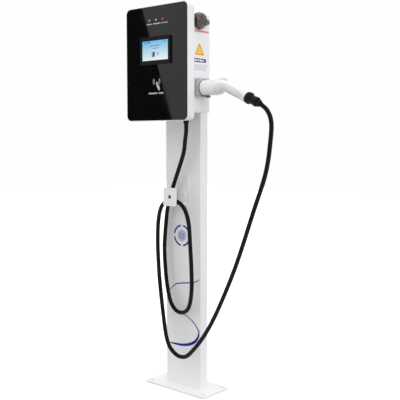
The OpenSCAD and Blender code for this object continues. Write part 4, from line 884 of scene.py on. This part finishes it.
piece("latch_boss", *lathe(boss, PIVOT, (0, -1, 0), 40), gun_white, "gun_latch", "gun_white")

# Collar: a ribbed ring that closes the handle, then a narrower neck
handle_end = GRIP_START + GRIP_WAY * GRIP_END
collar = [(0, 12), (0, 17.9), (3.4, 17.9), (4.0, 18.8), (5.0, 19.5), (14.6, 19.5), (15.6, 18.6), (16.2, 16.0),
          (17.4, 15.2), (33, 15.0), (35, 16.3), (44.4, 16.3), (46, 15.0), (46, 12)]
piece("handle_collar", *lathe(collar, handle_end, GRIP_WAY, 72), gun_black, "gun", "gun_black", ["gun_collar"])
up_way = GRIP_WAY.cross(SIDEWAYS)
COLLAR_RIBS, RIB_FOOT_R = 24, 19.3
collar_ribs = []
for k in range(COLLAR_RIBS):
    a = 2 * math.pi * k / COLLAR_RIBS
    foot = handle_end + (SIDEWAYS * math.cos(a) + up_way * math.sin(a)) * RIB_FOOT_R
    rib = [foot + GRIP_WAY * s for s in (5.2, 6.0, 9.8, 13.4, 14.2)]
    collar_ribs.append(tube(rib, [0.3, 0.85, 0.9, 0.85, 0.3], 8))
piece("collar_grip", *joined(collar_ribs), gun_black, "gun", "gun_black")

# Boot: moulded thermoplastic rubber, tapered, with three bending rings
boot = [(8, 5.2), (8, 11.8), (45.6, 11.8), (46.1, 13.0), (47.0, 13.3), (48.8, 13.3), (49.5, 12.5),
        (51.0, 12.3), (52.8, 12.3), (53.4, 11.6), (55.0, 11.3), (56.6, 11.2), (57.2, 10.5), (59.2, 9.8),
        (60, 9.0), (60, 0.4), (56, 0.2), (40, 0.2), (40, 5.2)]
piece("cable_boot", *lathe(boot, handle_end, GRIP_WAY, 72), rubber, "gun", "gun_black", ["gun_boot"])

# ---- Cable hanger ----
# A hook bent from 3 mm steel strip, welded to a small plate with four screws and powder coated
# in a very light grey. Its saddle carries the cable on a thin rubber pad.
hanger_coat = grained("light_grey_powder_coat", ("#EEEFF0", "#F4F4F5"), (0.38, 0.5), 2.2, 0.05, patch=90)
dress(powder_coat, "hanger_mount", "hanger_screws", edge=0.4)
dress(hanger_coat, "hanger_hook", edge=0.7)
hook_low = box("hanger_hook")[0]
hole = Vector((0, hook_low.y, hook_low.z + 33))
# a black snap-in plug closes the hole in the hook's face
plug = [(-0.9, 0.2), (-0.9, 4.6), (-0.5, 6.2), (0, 6.9), (0, 5.2), (4.4, 5.2), (5.0, 5.8), (5.6, 5.0),
        (5.6, 0.2)]
piece("hook_plug", *lathe(plug, hole, SIDEWAYS, 48), black_polyamide, "root", "black_frame")
# the rubber pad: a curved strip on the saddle, as wide as the cable is thick, thinner at its ends
SADDLE_R, SADDLE_TOP = 54.0, 700.0
PAD_T, PAD_HALF = 2.6, 19.5
PAD_FRONT, PAD_BACK, PAD_BEVEL = -84.4, -68.0, 0.8
saddle = Vector((0, 0, SADDLE_TOP - SADDLE_R))
strip = []
for k in range(25):
    a = math.asin(PAD_HALF / SADDLE_R) * (k / 12 - 1)
    out_way = Vector((math.sin(a), 0, math.cos(a)))
    thick = PAD_T * (0.45 if k in (0, 24) else 1)
    low, high = saddle + out_way * (SADDLE_R + 0.1), saddle + out_way * (SADDLE_R + thick)
    strip.append([Vector((low.x, PAD_FRONT, low.z)), Vector((low.x, PAD_BACK, low.z)),
                  Vector((high.x, PAD_BACK - PAD_BEVEL, high.z)),
                  Vector((high.x, PAD_FRONT + PAD_BEVEL, high.z))])
piece("saddle_pad", *solid(strip), rubber, "root", "seal_rubber", turn_edge=0.4)
